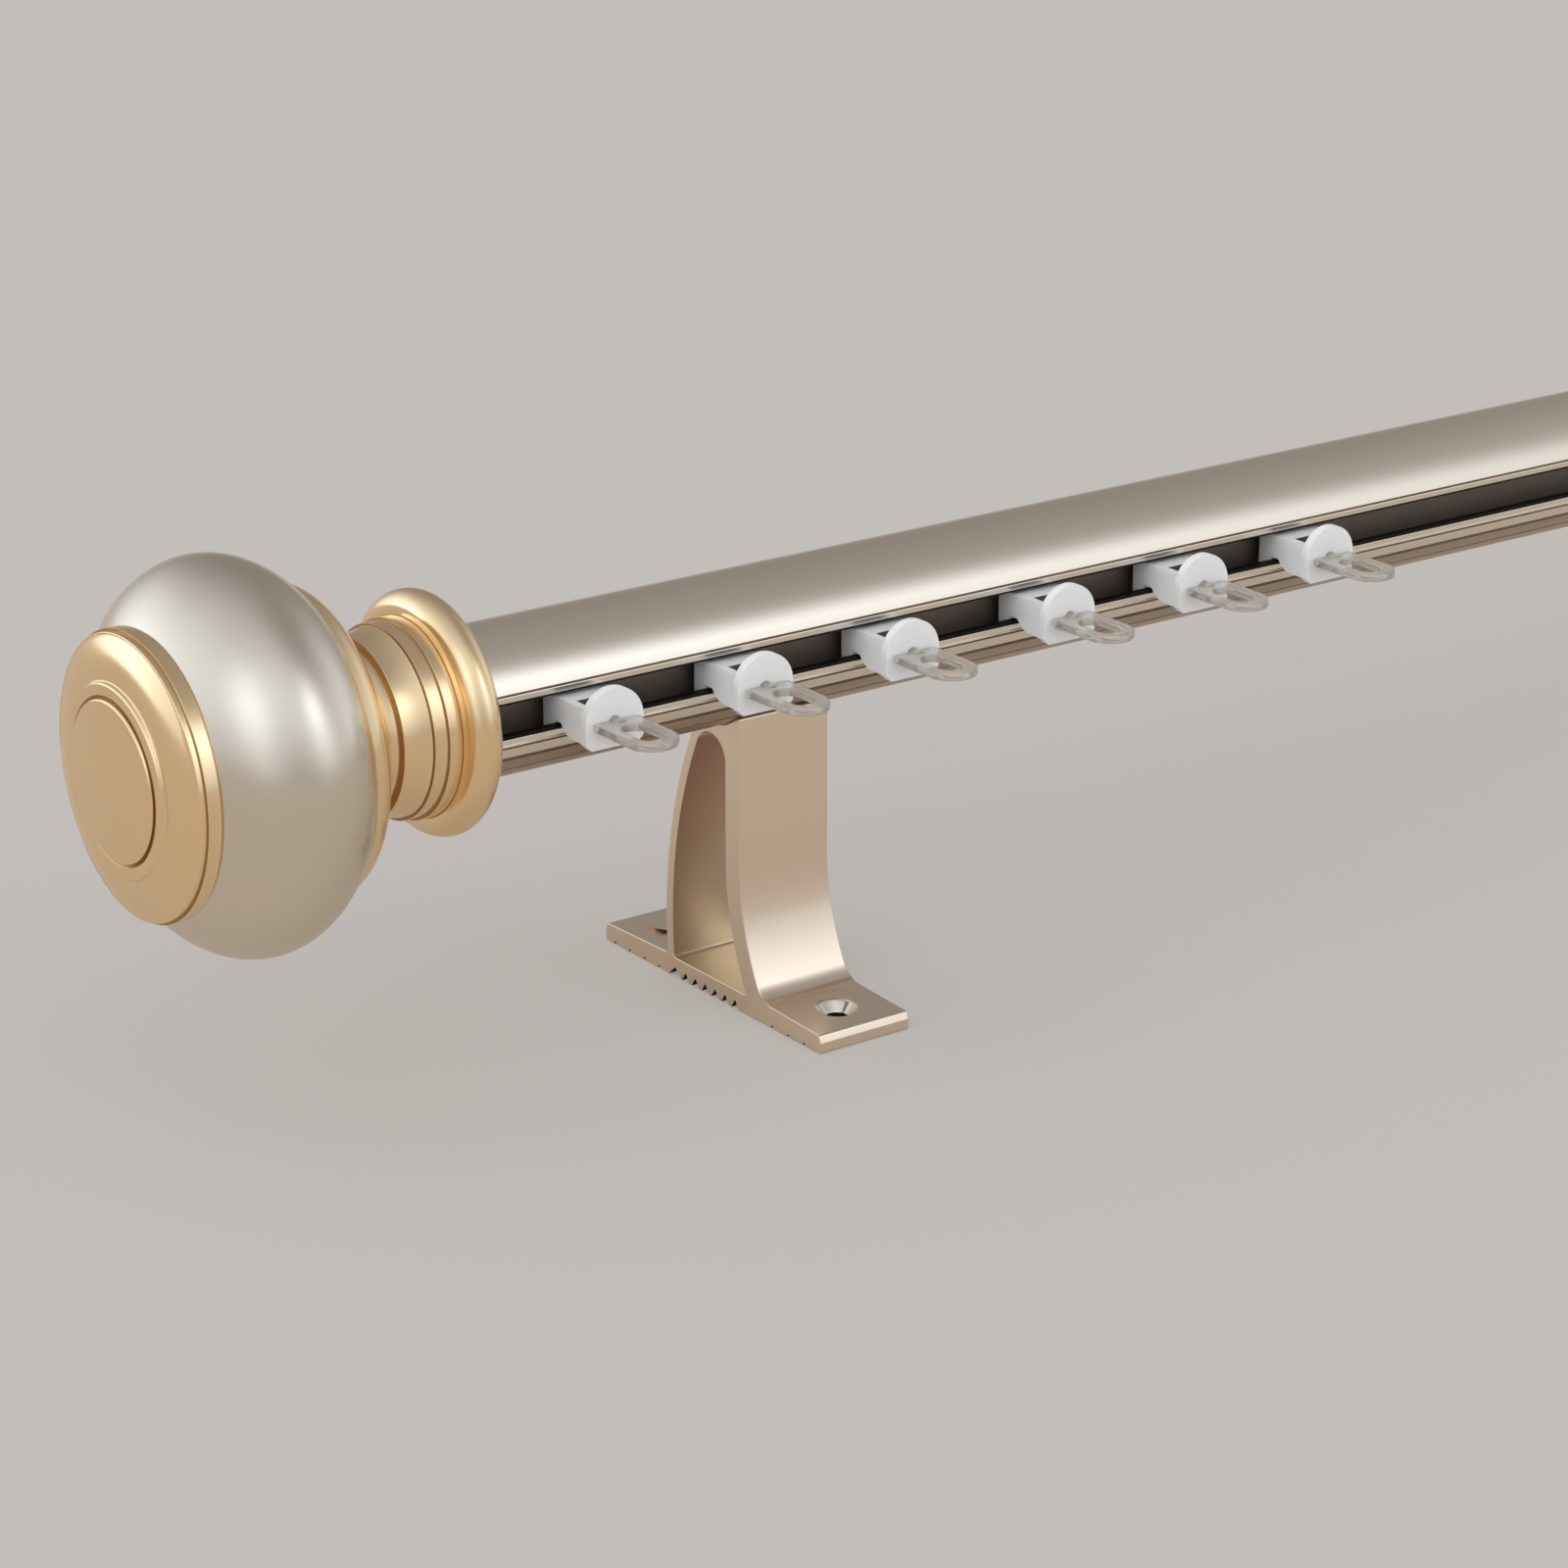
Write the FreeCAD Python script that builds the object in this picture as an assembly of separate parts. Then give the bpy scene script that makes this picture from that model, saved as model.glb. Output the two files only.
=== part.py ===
import FreeCAD, Part
import math
import os

# Curtain track: a round rail with a runner slot, lying on the wall plates of its two brackets.
# X runs along the rail. -Y is the slot side, which points down in use. +Z leaves the wall plates,
# whose undersides lie at zero. Every size is in millimetres.

# Rail
RAIL_LENGTH = 600.0
RAIL_RADIUS = 14.5
RAIL_WALL = 1.4
RAIL_AXIS_HEIGHT = 71.1

# Runner channel behind the slot
SLOT_HALF_HEIGHT = 3.5
LIP_FACE_HALF_HEIGHT = 4.65
LIP_FACE_DEPTH = 1.2
LIP_THICKNESS = 1.4
CHANNEL_HALF_HEIGHT = 6.0
CHANNEL_DEPTH = 6.2
CHANNEL_WALL = 1.2

# Grooves drawn along the rail beside the slot: angle round the rail, width and depth
EDGE_LINE_WIDTH = 0.45
EDGE_LINE_DEPTH = 0.3
LOWER_GROOVE_ANGLE = 31.5
LOWER_GROOVE_WIDTH = 0.9
LOWER_GROOVE_DEPTH = 0.5
LOWER_LINE_ANGLE = 46.0

# Clamp channel on the wall side of the rail
CLAMP_SLOT_HALF_WIDTH = 2.75
CLAMP_CHANNEL_HALF_WIDTH = 4.6
CLAMP_CHANNEL_HEIGHT = 3.9
CLAMP_LEDGE_THICKNESS = 1.7

# Glide strips on the slot's two lips
STRIP_THICKNESS = 0.7
STRIP_NOSE_THICKNESS = 0.45
STRIP_NOSE_LENGTH = 1.1
STRIP_HEIGHT = 2.2
STRIP_CLEARANCE = 0.05

# Runners: distances from the left finial's flange to each runner at rest
RUNNER_PLACES = (22.6, 56.4, 90.9, 129.6, 164.2, 198.2)
RUNNER_HEAD_THICKNESS = 3.4
RUNNER_CHANNEL_CLEARANCE = 0.7
RUNNER_GLIDE_CLEARANCE = 0.05
RUNNER_NECK_CLEARANCE = 0.6
RUNNER_LIP_CLEARANCE = 0.3
RUNNER_ARM_HALF_WIDTH = 5.7
RUNNER_ARM_BOTTOM = 4.6
RUNNER_REACH = 9.5
RUNNER_PLATE_THICKNESS = 1.8
RUNNER_PLATE_RADIUS = 6.3
RUNNER_PLATE_TOP = 5.8
RUNNER_PLATE_BOTTOM = 5.5
RUNNER_PLATE_CHAMFER = 1.2
POCKET_HALF_WIDTH = 3.2
POCKET_LENGTH = 3.8

# Swivel eyelets in front of the runners
SWIVEL_DROP = 0.9
STEM_RADIUS = 1.3
STEM_CLEARANCE = 0.06
STEM_EMBED = 2.4
SNAP_HEAD_RADIUS = 1.9
SNAP_HEAD_LENGTH = 1.2
SNAP_HEAD_TIP_RADIUS = 1.2
SNAP_HEAD_CLEARANCE = 0.2
EYELET_GAP = 0.3
EYELET_LENGTH = 16.5
EYELET_WIDTH = 10.0
EYELET_THICKNESS = 1.6
EYELET_CORNER_RADIUS = 1.0
EYELET_HOLE_WIDTH = 5.2
EYELET_HOLE_LENGTH = 10.4
EYELET_HOLE_SETBACK = 3.8

# Brackets
BRACKET_INSET = 90.5
BRACKET_WIDTH = 21.0
BASE_LENGTH = 73.0
BASE_END_THICKNESS = 3.8
BASE_ROOT_THICKNESS = 4.5
BASE_FLOOR_THICKNESS = 4.1
BASE_TOP_ROUND = 1.8
BASE_EDGE_ROUND = 0.8
NEAR_LEG_FACE = 10.2
NEAR_LEG_THICKNESS = 4.7
NEAR_LEG_DROP = 11.3
NEAR_FLARE_RADIUS = 48.0
NEAR_FLARE_START = 30.0
NEAR_FOOT_ROUND = 6.0
FAR_LEG_FACE = 14.8
FAR_LEG_THICKNESS = 2.2
FAR_LEG_RADIUS = 96.75
FAR_LEG_BULGE_HEIGHT = 12.0
ARCH_RADIUS = 4.9
SADDLE_CLEARANCE = 0.05
SADDLE_FAR_EDGE = 3.4
SHOULDER_DROP = 17.5

# Teeth and scores under the wall plate
TOOTH_NOTCH_PITCH = 3.35
TOOTH_NOTCH_COUNT = 6
TOOTH_NOTCH_FIRST = 8.35
TOOTH_NOTCH_WIDTH = 2.6
TOOTH_NOTCH_DEPTH = 1.75
CORNER_NOTCH_PLACE = 12.0
CORNER_NOTCH_WIDTH = 4.4
CORNER_NOTCH_DEPTH = 1.9
SCORE_PITCH = 5.2
SCORE_WIDTH = 1.0
SCORE_DEPTH = 0.4
NEAR_SCORE_INSET = 5.3
NEAR_SCORE_COUNT = 3
FAR_SCORE_INSET = 3.5
FAR_SCORE_COUNT = 4

# Countersunk holes for the wall screws
WALL_HOLE_SPACING = 55.0
WALL_HOLE_RADIUS = 2.25
COUNTERSINK_RADIUS = 4.2
COUNTERSINK_DEPTH = 1.9

# Clamp screw and clamp plate that hold the rail down on each bracket
CLAMP_SCREW_RADIUS = 2.0
CLAMP_SCREW_HEAD_RADIUS = 3.5
CLAMP_SCREW_HEAD_HEIGHT = 2.2
CLAMP_SCREW_PASS_CLEARANCE = 0.2
CLAMP_SCREW_SEAT_DEPTH = 2.7
CLAMP_SEAT_CLEARANCE = 0.3
CLAMP_PLATE_LENGTH = 16.0
CLAMP_PLATE_THICKNESS = 2.9
CLAMP_PLATE_SIDE_CLEARANCE = 0.4
CLAMP_SCREW_TIP_CLEARANCE = 0.3
THREAD_CLEARANCE = 0.05
DRIVE_RADIUS = 1.25
DRIVE_DEPTH = 1.3

# Finials: lengths run outwards from the flange's face, radii from the rail's axis
RAIL_INSERTION = 20.8
SOCKET_CLEARANCE = 0.08
FLANGE_BEAD_RADIUS = 3.65
FLANGE_RADIUS = 23.1
STEP_BAND_LENGTH = 2.8
STEP_BAND_HEIGHT = 0.5
STEP_BAND_ROUND = 0.25
NECK_RADIUS = 17.0
NECK_FLARE = 0.8
NECK_LENGTH = 5.6
NECK_EDGE_HEIGHT = 0.8
COVE_LENGTH = 7.8
COVE_SAG = 3.6
COLLAR_RIM_RADIUS = 25.2
COLLAR_LENGTH = 5.1
COLLAR_BULGE = 1.3
BALL_HALF_LENGTH = 22.5
BALL_RADIUS = 36.5
BALL_WALL = 2.5
BALL_COLLAR_CUT = 13.2
BALL_CAP_CUT = 15.8
SPIGOT_LENGTH = 2.0
SPIGOT_CLEARANCE = 0.2
CAP_OVERHANG = 0.55
CAP_BAND_LENGTH = 2.8
CAP_BAND_STEP = 0.5
CAP_RIM_LENGTH = 1.1
CAP_RIM_ROUND = 0.5
CAP_FACE_RISE = 2.2
CAP_RING_RADIUS = 17.8
CAP_RING_HEIGHT = 0.8
CAP_RING_WIDTH = 2.3
CAP_GROOVE_DEPTH = 0.35
CAP_BOSS_RADIUS = 14.8
CAP_BOSS_HEIGHT = 0.9
CAP_BOSS_DOME = 0.9
CAP_HUB_RADIUS = 6.0
CAP_HUB_LENGTH = 8.0
TIE_SCREW_RADIUS = 2.5
TIE_SCREW_HEAD_RADIUS = 4.5
TIE_SCREW_HEAD_HEIGHT = 3.2
TIE_SCREW_PASS_CLEARANCE = 0.25
TIE_SCREW_THREAD_ENGAGEMENT = 7.5
HEAD_ROOM_RADIUS = 9.0
HEAD_ROOM_LENGTH = 4.5
SET_SCREW_PLACE = 15.5
SET_SCREW_RADIUS = 2.0
SET_SCREW_RECESS = 0.2
SET_SCREW_TIP_CLEARANCE = 0.03

# Places that several pieces share
OVERCUT = 5.0
SAME_POINT = 0.001
RAIL_END = RAIL_LENGTH / 2
FLANGE_FACE = RAIL_END - RAIL_INSERTION
BRACKET_PLACE = RAIL_END - BRACKET_INSET
LIP_FACE_Y = -(RAIL_RADIUS - LIP_FACE_DEPTH)
CHANNEL_FRONT_Y = LIP_FACE_Y + LIP_THICKNESS
CHANNEL_BACK_Y = CHANNEL_FRONT_Y + CHANNEL_DEPTH
STRIP_INNER_Y = CHANNEL_FRONT_Y + STRIP_CLEARANCE + STRIP_THICKNESS
SLOT_CLEAR_HALF_HEIGHT = SLOT_HALF_HEIGHT - STRIP_CLEARANCE - STRIP_NOSE_THICKNESS
CLAMP_LEDGE_Z = -(RAIL_RADIUS - CLAMP_LEDGE_THICKNESS)
CLAMP_CEILING_Z = CLAMP_LEDGE_Z + CLAMP_CHANNEL_HEIGHT
PLATE_FRONT_Y = LIP_FACE_Y - RUNNER_REACH
PLATE_BACK_Y = PLATE_FRONT_Y + RUNNER_PLATE_THICKNESS
SADDLE_RADIUS = RAIL_RADIUS + SADDLE_CLEARANCE
NEAR_LEG_TOP = RAIL_AXIS_HEIGHT - NEAR_LEG_DROP
SHOULDER_HEIGHT = RAIL_AXIS_HEIGHT - SHOULDER_DROP
CLAMP_SEAT_Z = RAIL_AXIS_HEIGHT - SADDLE_RADIUS - CLAMP_SCREW_SEAT_DEPTH
NECK_SHOULDER = RAIL_INSERTION + HEAD_ROOM_LENGTH
STEPS_START = 2 * FLANGE_BEAD_RADIUS
NECK_START = STEPS_START + 2 * STEP_BAND_LENGTH
NECK_EDGE = NECK_START + NECK_LENGTH
COLLAR_START = NECK_EDGE + COVE_LENGTH
COLLAR_END = COLLAR_START + COLLAR_LENGTH
BALL_CENTRE = COLLAR_END + BALL_COLLAR_CUT
CAP_START = BALL_CENTRE + BALL_CAP_CUT


def section_face(start, *steps):
    """Face across the rail from (y, z) points; a step of two points is an arc through the first."""
    return face_from_steps(lambda y, z: FreeCAD.Vector(0, y, z), start, steps)


def face_from_steps(place, start, steps):
    """Closed face from a start point and steps: one point is a line, two points are an arc."""
    edges = []
    here = place(*start)
    for step in steps:
        points = [place(*point) for point in step]
        if len(points) == 1:
            edges.append(Part.LineSegment(here, points[0]).toShape())
        else:
            edges.append(Part.Arc(here, points[0], points[1]).toShape())
        here = points[-1]
    if here.distanceToPoint(place(*start)) > SAME_POINT:
        edges.append(Part.LineSegment(here, place(*start)).toShape())
    return Part.Face(Part.Wire(edges))


def section_rectangle(y_low, y_high, z_low, z_high):
    return section_face((y_low, z_low), [(y_high, z_low)], [(y_high, z_high)], [(y_low, z_high)])


def section_disc(radius):
    circle = Part.Circle(FreeCAD.Vector(0, 0, 0), FreeCAD.Vector(1, 0, 0), radius)
    return Part.Face(Part.Wire(circle.toShape()))


def extruded(face, x_start, length):
    """Solid that a section across the rail sweeps along X."""
    solid = face.extrude(FreeCAD.Vector(length, 0, 0))
    solid.translate(FreeCAD.Vector(x_start, 0, 0))
    return solid


def cylinder(radius, length, base, direction):
    return Part.makeCylinder(radius, length, FreeCAD.Vector(*base), FreeCAD.Vector(*direction))


def edges_along_x(solid, y, z):
    """Edges of a solid that run along X through one place of its section."""
    found = []
    for edge in solid.Edges:
        ends = [vertex.Point for vertex in edge.Vertexes]
        if len(ends) == 2 and all(math.hypot(end.y - y, end.z - z) < SAME_POINT for end in ends):
            found.append(edge)
    return found


def raised_to_axis(solid):
    """Carry a solid modelled about the origin up to the rail's axis."""
    solid.translate(FreeCAD.Vector(0, 0, RAIL_AXIS_HEIGHT))
    return solid


def vee_groove(angle, width, depth):
    """Triangle cut into the rail's skin, turned down from the slot's centre by an angle."""
    lead = RAIL_RADIUS + width
    groove = section_face((-lead, -width), [(-RAIL_RADIUS + depth, 0)], [(-lead, width)])
    groove.rotate(FreeCAD.Vector(0, 0, 0), FreeCAD.Vector(1, 0, 0), angle)
    return groove


def rail_cuts():
    """Sections that are open in the rail: its two channels, their slots and the drawn grooves."""
    outside = RAIL_RADIUS + OVERCUT
    half_clamp = CLAMP_CHANNEL_HALF_WIDTH
    cuts = [
        section_rectangle(CHANNEL_FRONT_Y, CHANNEL_BACK_Y, -CHANNEL_HALF_HEIGHT, CHANNEL_HALF_HEIGHT),
        section_rectangle(-outside, CHANNEL_FRONT_Y, -SLOT_HALF_HEIGHT, SLOT_HALF_HEIGHT),
        section_rectangle(-outside, LIP_FACE_Y, -LIP_FACE_HALF_HEIGHT, LIP_FACE_HALF_HEIGHT),
        section_rectangle(-half_clamp, half_clamp, CLAMP_LEDGE_Z, CLAMP_CEILING_Z),
        section_rectangle(-CLAMP_SLOT_HALF_WIDTH, CLAMP_SLOT_HALF_WIDTH, -outside, CLAMP_LEDGE_Z),
        vee_groove(LOWER_GROOVE_ANGLE, LOWER_GROOVE_WIDTH, LOWER_GROOVE_DEPTH),
        vee_groove(LOWER_LINE_ANGLE, EDGE_LINE_WIDTH, EDGE_LINE_DEPTH),
    ]
    edge_angle = math.degrees(math.asin((LIP_FACE_HALF_HEIGHT + EDGE_LINE_WIDTH) / RAIL_RADIUS))
    for angle in (-edge_angle, edge_angle):
        cuts.append(vee_groove(angle, EDGE_LINE_WIDTH, EDGE_LINE_DEPTH))
    return cuts


def full_length(face):
    """Solid that a section sweeps along the whole rail."""
    return extruded(face, -RAIL_END, RAIL_LENGTH)


def rail():
    """Round tube with a runner channel in front and a clamp channel on the wall side."""
    outside = RAIL_RADIUS + OVERCUT
    half_housing = CHANNEL_HALF_HEIGHT + CHANNEL_WALL
    half_clamp = CLAMP_CHANNEL_HALF_WIDTH + CHANNEL_WALL
    runner_housing = section_rectangle(-outside, CHANNEL_BACK_Y + CHANNEL_WALL, -half_housing, half_housing)
    clamp_housing = section_rectangle(-half_clamp, half_clamp, -outside, CLAMP_CEILING_Z + CHANNEL_WALL)
    outer = full_length(section_disc(RAIL_RADIUS))
    body = outer.cut(full_length(section_disc(RAIL_RADIUS - RAIL_WALL)))
    housings = [full_length(face).common(outer) for face in (runner_housing, clamp_housing)]
    body = body.fuse(housings).cut([full_length(face) for face in rail_cuts()])
    return raised_to_axis(body.removeSplitter())


def glide_strip(side):
    """Angle strip that lines one lip inside the channel and along the slot's edge."""
    nose = SLOT_CLEAR_HALF_HEIGHT
    nose_outer = nose + STRIP_NOSE_THICKNESS
    seat = CHANNEL_FRONT_Y + STRIP_CLEARANCE
    face = section_face(
        (CHANNEL_FRONT_Y - STRIP_NOSE_LENGTH, side * nose),
        [(STRIP_INNER_Y, side * nose)],
        [(STRIP_INNER_Y, side * (nose + STRIP_HEIGHT))],
        [(seat, side * (nose + STRIP_HEIGHT))],
        [(seat, side * nose_outer)],
        [(CHANNEL_FRONT_Y - STRIP_NOSE_LENGTH, side * nose_outer)],
    )
    return raised_to_axis(full_length(face))


def runner_side_profile():
    """Side outline of a runner: head in the channel, neck in the slot and arm in front of it."""
    head_half = CHANNEL_HALF_HEIGHT - RUNNER_CHANNEL_CLEARANCE
    neck_half = SLOT_CLEAR_HALF_HEIGHT - RUNNER_NECK_CLEARANCE
    head_front = STRIP_INNER_Y + RUNNER_GLIDE_CLEARANCE
    head_back = head_front + RUNNER_HEAD_THICKNESS
    arm_root = LIP_FACE_Y - RUNNER_LIP_CLEARANCE
    sweep = (PLATE_BACK_Y - arm_root) / 2
    return section_face(
        (head_back, head_half),
        [(head_front, head_half)],
        [(head_front, neck_half)],
        [(PLATE_BACK_Y, neck_half)],
        [(PLATE_BACK_Y, -RUNNER_ARM_BOTTOM)],
        [(arm_root + sweep, -RUNNER_ARM_BOTTOM)],
        [(arm_root + sweep / 4, -(neck_half + RUNNER_ARM_BOTTOM) / 2), (arm_root, -neck_half)],
        [(head_front, -neck_half)],
        [(head_front, -head_half)],
        [(head_back, -head_half)],
    )


def runner_plate():
    """Front plate with a round top and a chamfered flat foot."""
    half = RUNNER_PLATE_RADIUS
    centre = RUNNER_PLATE_TOP - RUNNER_PLATE_RADIUS
    foot = half - RUNNER_PLATE_CHAMFER
    face = face_from_steps(
        lambda x, z: FreeCAD.Vector(x, PLATE_FRONT_Y, z),
        (-half, centre),
        [
            [(0, RUNNER_PLATE_TOP), (half, centre)],
            [(half, RUNNER_PLATE_CHAMFER - RUNNER_PLATE_BOTTOM)],
            [(foot, -RUNNER_PLATE_BOTTOM)],
            [(-foot, -RUNNER_PLATE_BOTTOM)],
            [(-half, RUNNER_PLATE_CHAMFER - RUNNER_PLATE_BOTTOM)],
        ],
    )
    return face.extrude(FreeCAD.Vector(0, RUNNER_PLATE_THICKNESS, 0))


def runner(x):
    """One nylon runner: a T-head, a pocketed arm and the plate that the eyelet swivels in."""
    body = extruded(runner_side_profile(), -RUNNER_ARM_HALF_WIDTH, 2 * RUNNER_ARM_HALF_WIDTH)
    body = body.fuse(runner_plate()).removeSplitter()
    pocket_floor = -SWIVEL_DROP - SNAP_HEAD_RADIUS - SNAP_HEAD_CLEARANCE
    pocket = Part.makeBox(
        2 * POCKET_HALF_WIDTH,
        POCKET_LENGTH,
        OVERCUT - pocket_floor,
        FreeCAD.Vector(-POCKET_HALF_WIDTH, PLATE_BACK_Y, pocket_floor),
    )
    bore_start = (0, PLATE_FRONT_Y - OVERCUT, -SWIVEL_DROP)
    bore = cylinder(STEM_RADIUS + STEM_CLEARANCE, RUNNER_PLATE_THICKNESS + 2 * OVERCUT, bore_start, (0, 1, 0))
    bore = bore.common(plate_layer())
    body = body.cut([pocket, bore])
    body.translate(FreeCAD.Vector(x, 0, 0))
    return raised_to_axis(body)


def plate_layer():
    """Slab as thick as a runner's plate, which keeps the swivel bore inside it."""
    half = 2 * RUNNER_PLATE_RADIUS
    corner = FreeCAD.Vector(-half, PLATE_FRONT_Y, -half)
    return Part.makeBox(2 * half, RUNNER_PLATE_THICKNESS, 2 * half, corner)


def stadium(width, length, root_y):
    """Flat loop outline that starts at a given Y and runs towards -Y with two round ends."""
    half = width / 2
    near = root_y - half
    far = root_y - length + half
    return face_from_steps(
        lambda x, y: FreeCAD.Vector(x, y, 0),
        (-half, near),
        [[(-half, far)], [(0, far - half), (half, far)], [(half, near)], [(0, root_y), (-half, near)]],
    )


def eyelet(x):
    """Clear swivel eyelet: a flat loop on a stem with a snap head behind the runner's plate."""
    root = PLATE_FRONT_Y - EYELET_GAP
    half = EYELET_WIDTH / 2
    tip = root - EYELET_LENGTH
    corner = EYELET_CORNER_RADIUS
    diagonal = corner * (1 - math.sqrt(0.5))
    loop = face_from_steps(
        lambda px, py: FreeCAD.Vector(px, py, -EYELET_THICKNESS / 2),
        (corner - half, root),
        [
            [(diagonal - half, root - diagonal), (-half, root - corner)],
            [(-half, tip + half)],
            [(0, tip), (half, tip + half)],
            [(half, root - corner)],
            [(half - diagonal, root - diagonal), (half - corner, root)],
        ],
    ).extrude(FreeCAD.Vector(0, 0, EYELET_THICKNESS))
    hole = stadium(EYELET_HOLE_WIDTH, EYELET_HOLE_LENGTH, root - EYELET_HOLE_SETBACK)
    hole.translate(FreeCAD.Vector(0, 0, -OVERCUT))
    loop = loop.cut(hole.extrude(FreeCAD.Vector(0, 0, 2 * OVERCUT)))
    head_front = PLATE_BACK_Y + SNAP_HEAD_CLEARANCE
    stem = cylinder(STEM_RADIUS, head_front - root + STEM_EMBED, (0, root - STEM_EMBED, 0), (0, 1, 0))
    head = Part.makeCone(
        SNAP_HEAD_RADIUS,
        SNAP_HEAD_TIP_RADIUS,
        SNAP_HEAD_LENGTH,
        FreeCAD.Vector(0, head_front, 0),
        FreeCAD.Vector(0, 1, 0),
    )
    body = loop.fuse([stem, head]).removeSplitter()
    body.translate(FreeCAD.Vector(x, 0, -SWIVEL_DROP))
    return raised_to_axis(body)


def bracket_outline():
    """Outer outline of the bracket's extrusion, from the near end of the wall plate round to it."""
    half_base = BASE_LENGTH / 2
    flare_centre = -NEAR_LEG_FACE - NEAR_FLARE_RADIUS
    foot_drop = NEAR_FLARE_START - BASE_ROOT_THICKNESS
    foot_angle = math.asin(foot_drop / NEAR_FLARE_RADIUS)

    def on_flare(angle):
        return (
            flare_centre + NEAR_FLARE_RADIUS * math.cos(angle),
            NEAR_FLARE_START - NEAR_FLARE_RADIUS * math.sin(angle),
        )

    far_centre = FAR_LEG_FACE - FAR_LEG_RADIUS

    def on_far_leg(z):
        return (far_centre + math.sqrt(FAR_LEG_RADIUS**2 - (z - FAR_LEG_BULGE_HEIGHT) ** 2), z)

    def on_saddle(y):
        return (y, RAIL_AXIS_HEIGHT - math.sqrt(SADDLE_RADIUS**2 - y**2))

    land_edge = -math.sqrt(SADDLE_RADIUS**2 - (RAIL_AXIS_HEIGHT - NEAR_LEG_TOP) ** 2)
    return section_face(
        (-half_base, 0),
        [(-half_base, BASE_END_THICKNESS)],
        [on_flare(foot_angle)],
        [on_flare(foot_angle / 2), on_flare(0)],
        [(-NEAR_LEG_FACE, NEAR_LEG_TOP)],
        [(land_edge, NEAR_LEG_TOP)],
        [on_saddle(0), on_saddle(SADDLE_FAR_EDGE)],
        [on_far_leg(SHOULDER_HEIGHT)],
        [on_far_leg((SHOULDER_HEIGHT + BASE_ROOT_THICKNESS) / 2), on_far_leg(BASE_ROOT_THICKNESS)],
        [(half_base, BASE_END_THICKNESS)],
        [(half_base, 0)],
    )


def bracket_hollow():
    """Tall hollow between the two legs, closed above by a round arch."""
    near_centre = -NEAR_LEG_FACE - NEAR_FLARE_RADIUS
    near_inner = NEAR_LEG_THICKNESS - NEAR_LEG_FACE
    near_radius = NEAR_FLARE_RADIUS + NEAR_LEG_THICKNESS
    floor_angle = math.asin((NEAR_FLARE_START - BASE_FLOOR_THICKNESS) / near_radius)
    far_centre = FAR_LEG_FACE - FAR_LEG_RADIUS
    far_radius = FAR_LEG_RADIUS - FAR_LEG_THICKNESS
    arch_y = near_inner + ARCH_RADIUS
    centre_gap = far_radius - ARCH_RADIUS
    arch_z = FAR_LEG_BULGE_HEIGHT + math.sqrt(centre_gap**2 - (arch_y - far_centre) ** 2)

    def on_near(angle):
        return (near_centre + near_radius * math.cos(angle), NEAR_FLARE_START - near_radius * math.sin(angle))

    def on_far(z):
        return (far_centre + math.sqrt(far_radius**2 - (z - FAR_LEG_BULGE_HEIGHT) ** 2), z)

    arch_end_z = FAR_LEG_BULGE_HEIGHT + (arch_z - FAR_LEG_BULGE_HEIGHT) * far_radius / centre_gap
    return section_face(
        on_far(BASE_FLOOR_THICKNESS),
        [on_far((BASE_FLOOR_THICKNESS + arch_end_z) / 2), on_far(arch_end_z)],
        [(arch_y, arch_z + ARCH_RADIUS), (near_inner, arch_z)],
        [on_near(0)],
        [on_near(floor_angle / 2), on_near(floor_angle)],
    )


def notch(y, width, depth):
    """Triangular cut across the underside of the wall plate."""
    return section_face((y - width / 2, 0), [(y, depth)], [(y + width / 2, 0)])


def underside_notches():
    """Teeth under the hollow, one larger corner notch and shallow scores under both flanges."""
    cuts = [notch(CORNER_NOTCH_PLACE, CORNER_NOTCH_WIDTH, CORNER_NOTCH_DEPTH)]
    for index in range(TOOTH_NOTCH_COUNT):
        place = TOOTH_NOTCH_FIRST - index * TOOTH_NOTCH_PITCH
        cuts.append(notch(place, TOOTH_NOTCH_WIDTH, TOOTH_NOTCH_DEPTH))
    for index in range(NEAR_SCORE_COUNT):
        place = NEAR_SCORE_INSET - BASE_LENGTH / 2 + index * SCORE_PITCH
        cuts.append(notch(place, SCORE_WIDTH, SCORE_DEPTH))
    for index in range(FAR_SCORE_COUNT):
        place = BASE_LENGTH / 2 - FAR_SCORE_INSET - index * SCORE_PITCH
        cuts.append(notch(place, SCORE_WIDTH, SCORE_DEPTH))
    return cuts


def wall_screw_hole(y):
    """Countersunk hole through one flange of the wall plate."""
    top = BASE_END_THICKNESS + (BASE_ROOT_THICKNESS - BASE_END_THICKNESS) / 2
    bore = cylinder(WALL_HOLE_RADIUS, top + 2 * OVERCUT, (0, y, -OVERCUT), (0, 0, 1))
    slope = (COUNTERSINK_RADIUS - WALL_HOLE_RADIUS) / COUNTERSINK_DEPTH
    sink = Part.makeCone(
        WALL_HOLE_RADIUS,
        COUNTERSINK_RADIUS + slope * OVERCUT,
        COUNTERSINK_DEPTH + OVERCUT,
        FreeCAD.Vector(0, y, top - COUNTERSINK_DEPTH),
    )
    return bore.fuse(sink)


def clamp_screw_hole():
    """Hole through the saddle, with a flat seat for the screw's head in the arch below."""
    hole_radius = CLAMP_SCREW_RADIUS + CLAMP_SCREW_PASS_CLEARANCE
    seat_radius = CLAMP_SCREW_HEAD_RADIUS + CLAMP_SEAT_CLEARANCE
    start = (0, 0, NEAR_FLARE_START)
    hole = cylinder(hole_radius, RAIL_AXIS_HEIGHT - NEAR_FLARE_START, start, (0, 0, 1))
    seat = cylinder(seat_radius, CLAMP_SEAT_Z - NEAR_FLARE_START, start, (0, 0, 1))
    return hole.fuse(seat)


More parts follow.
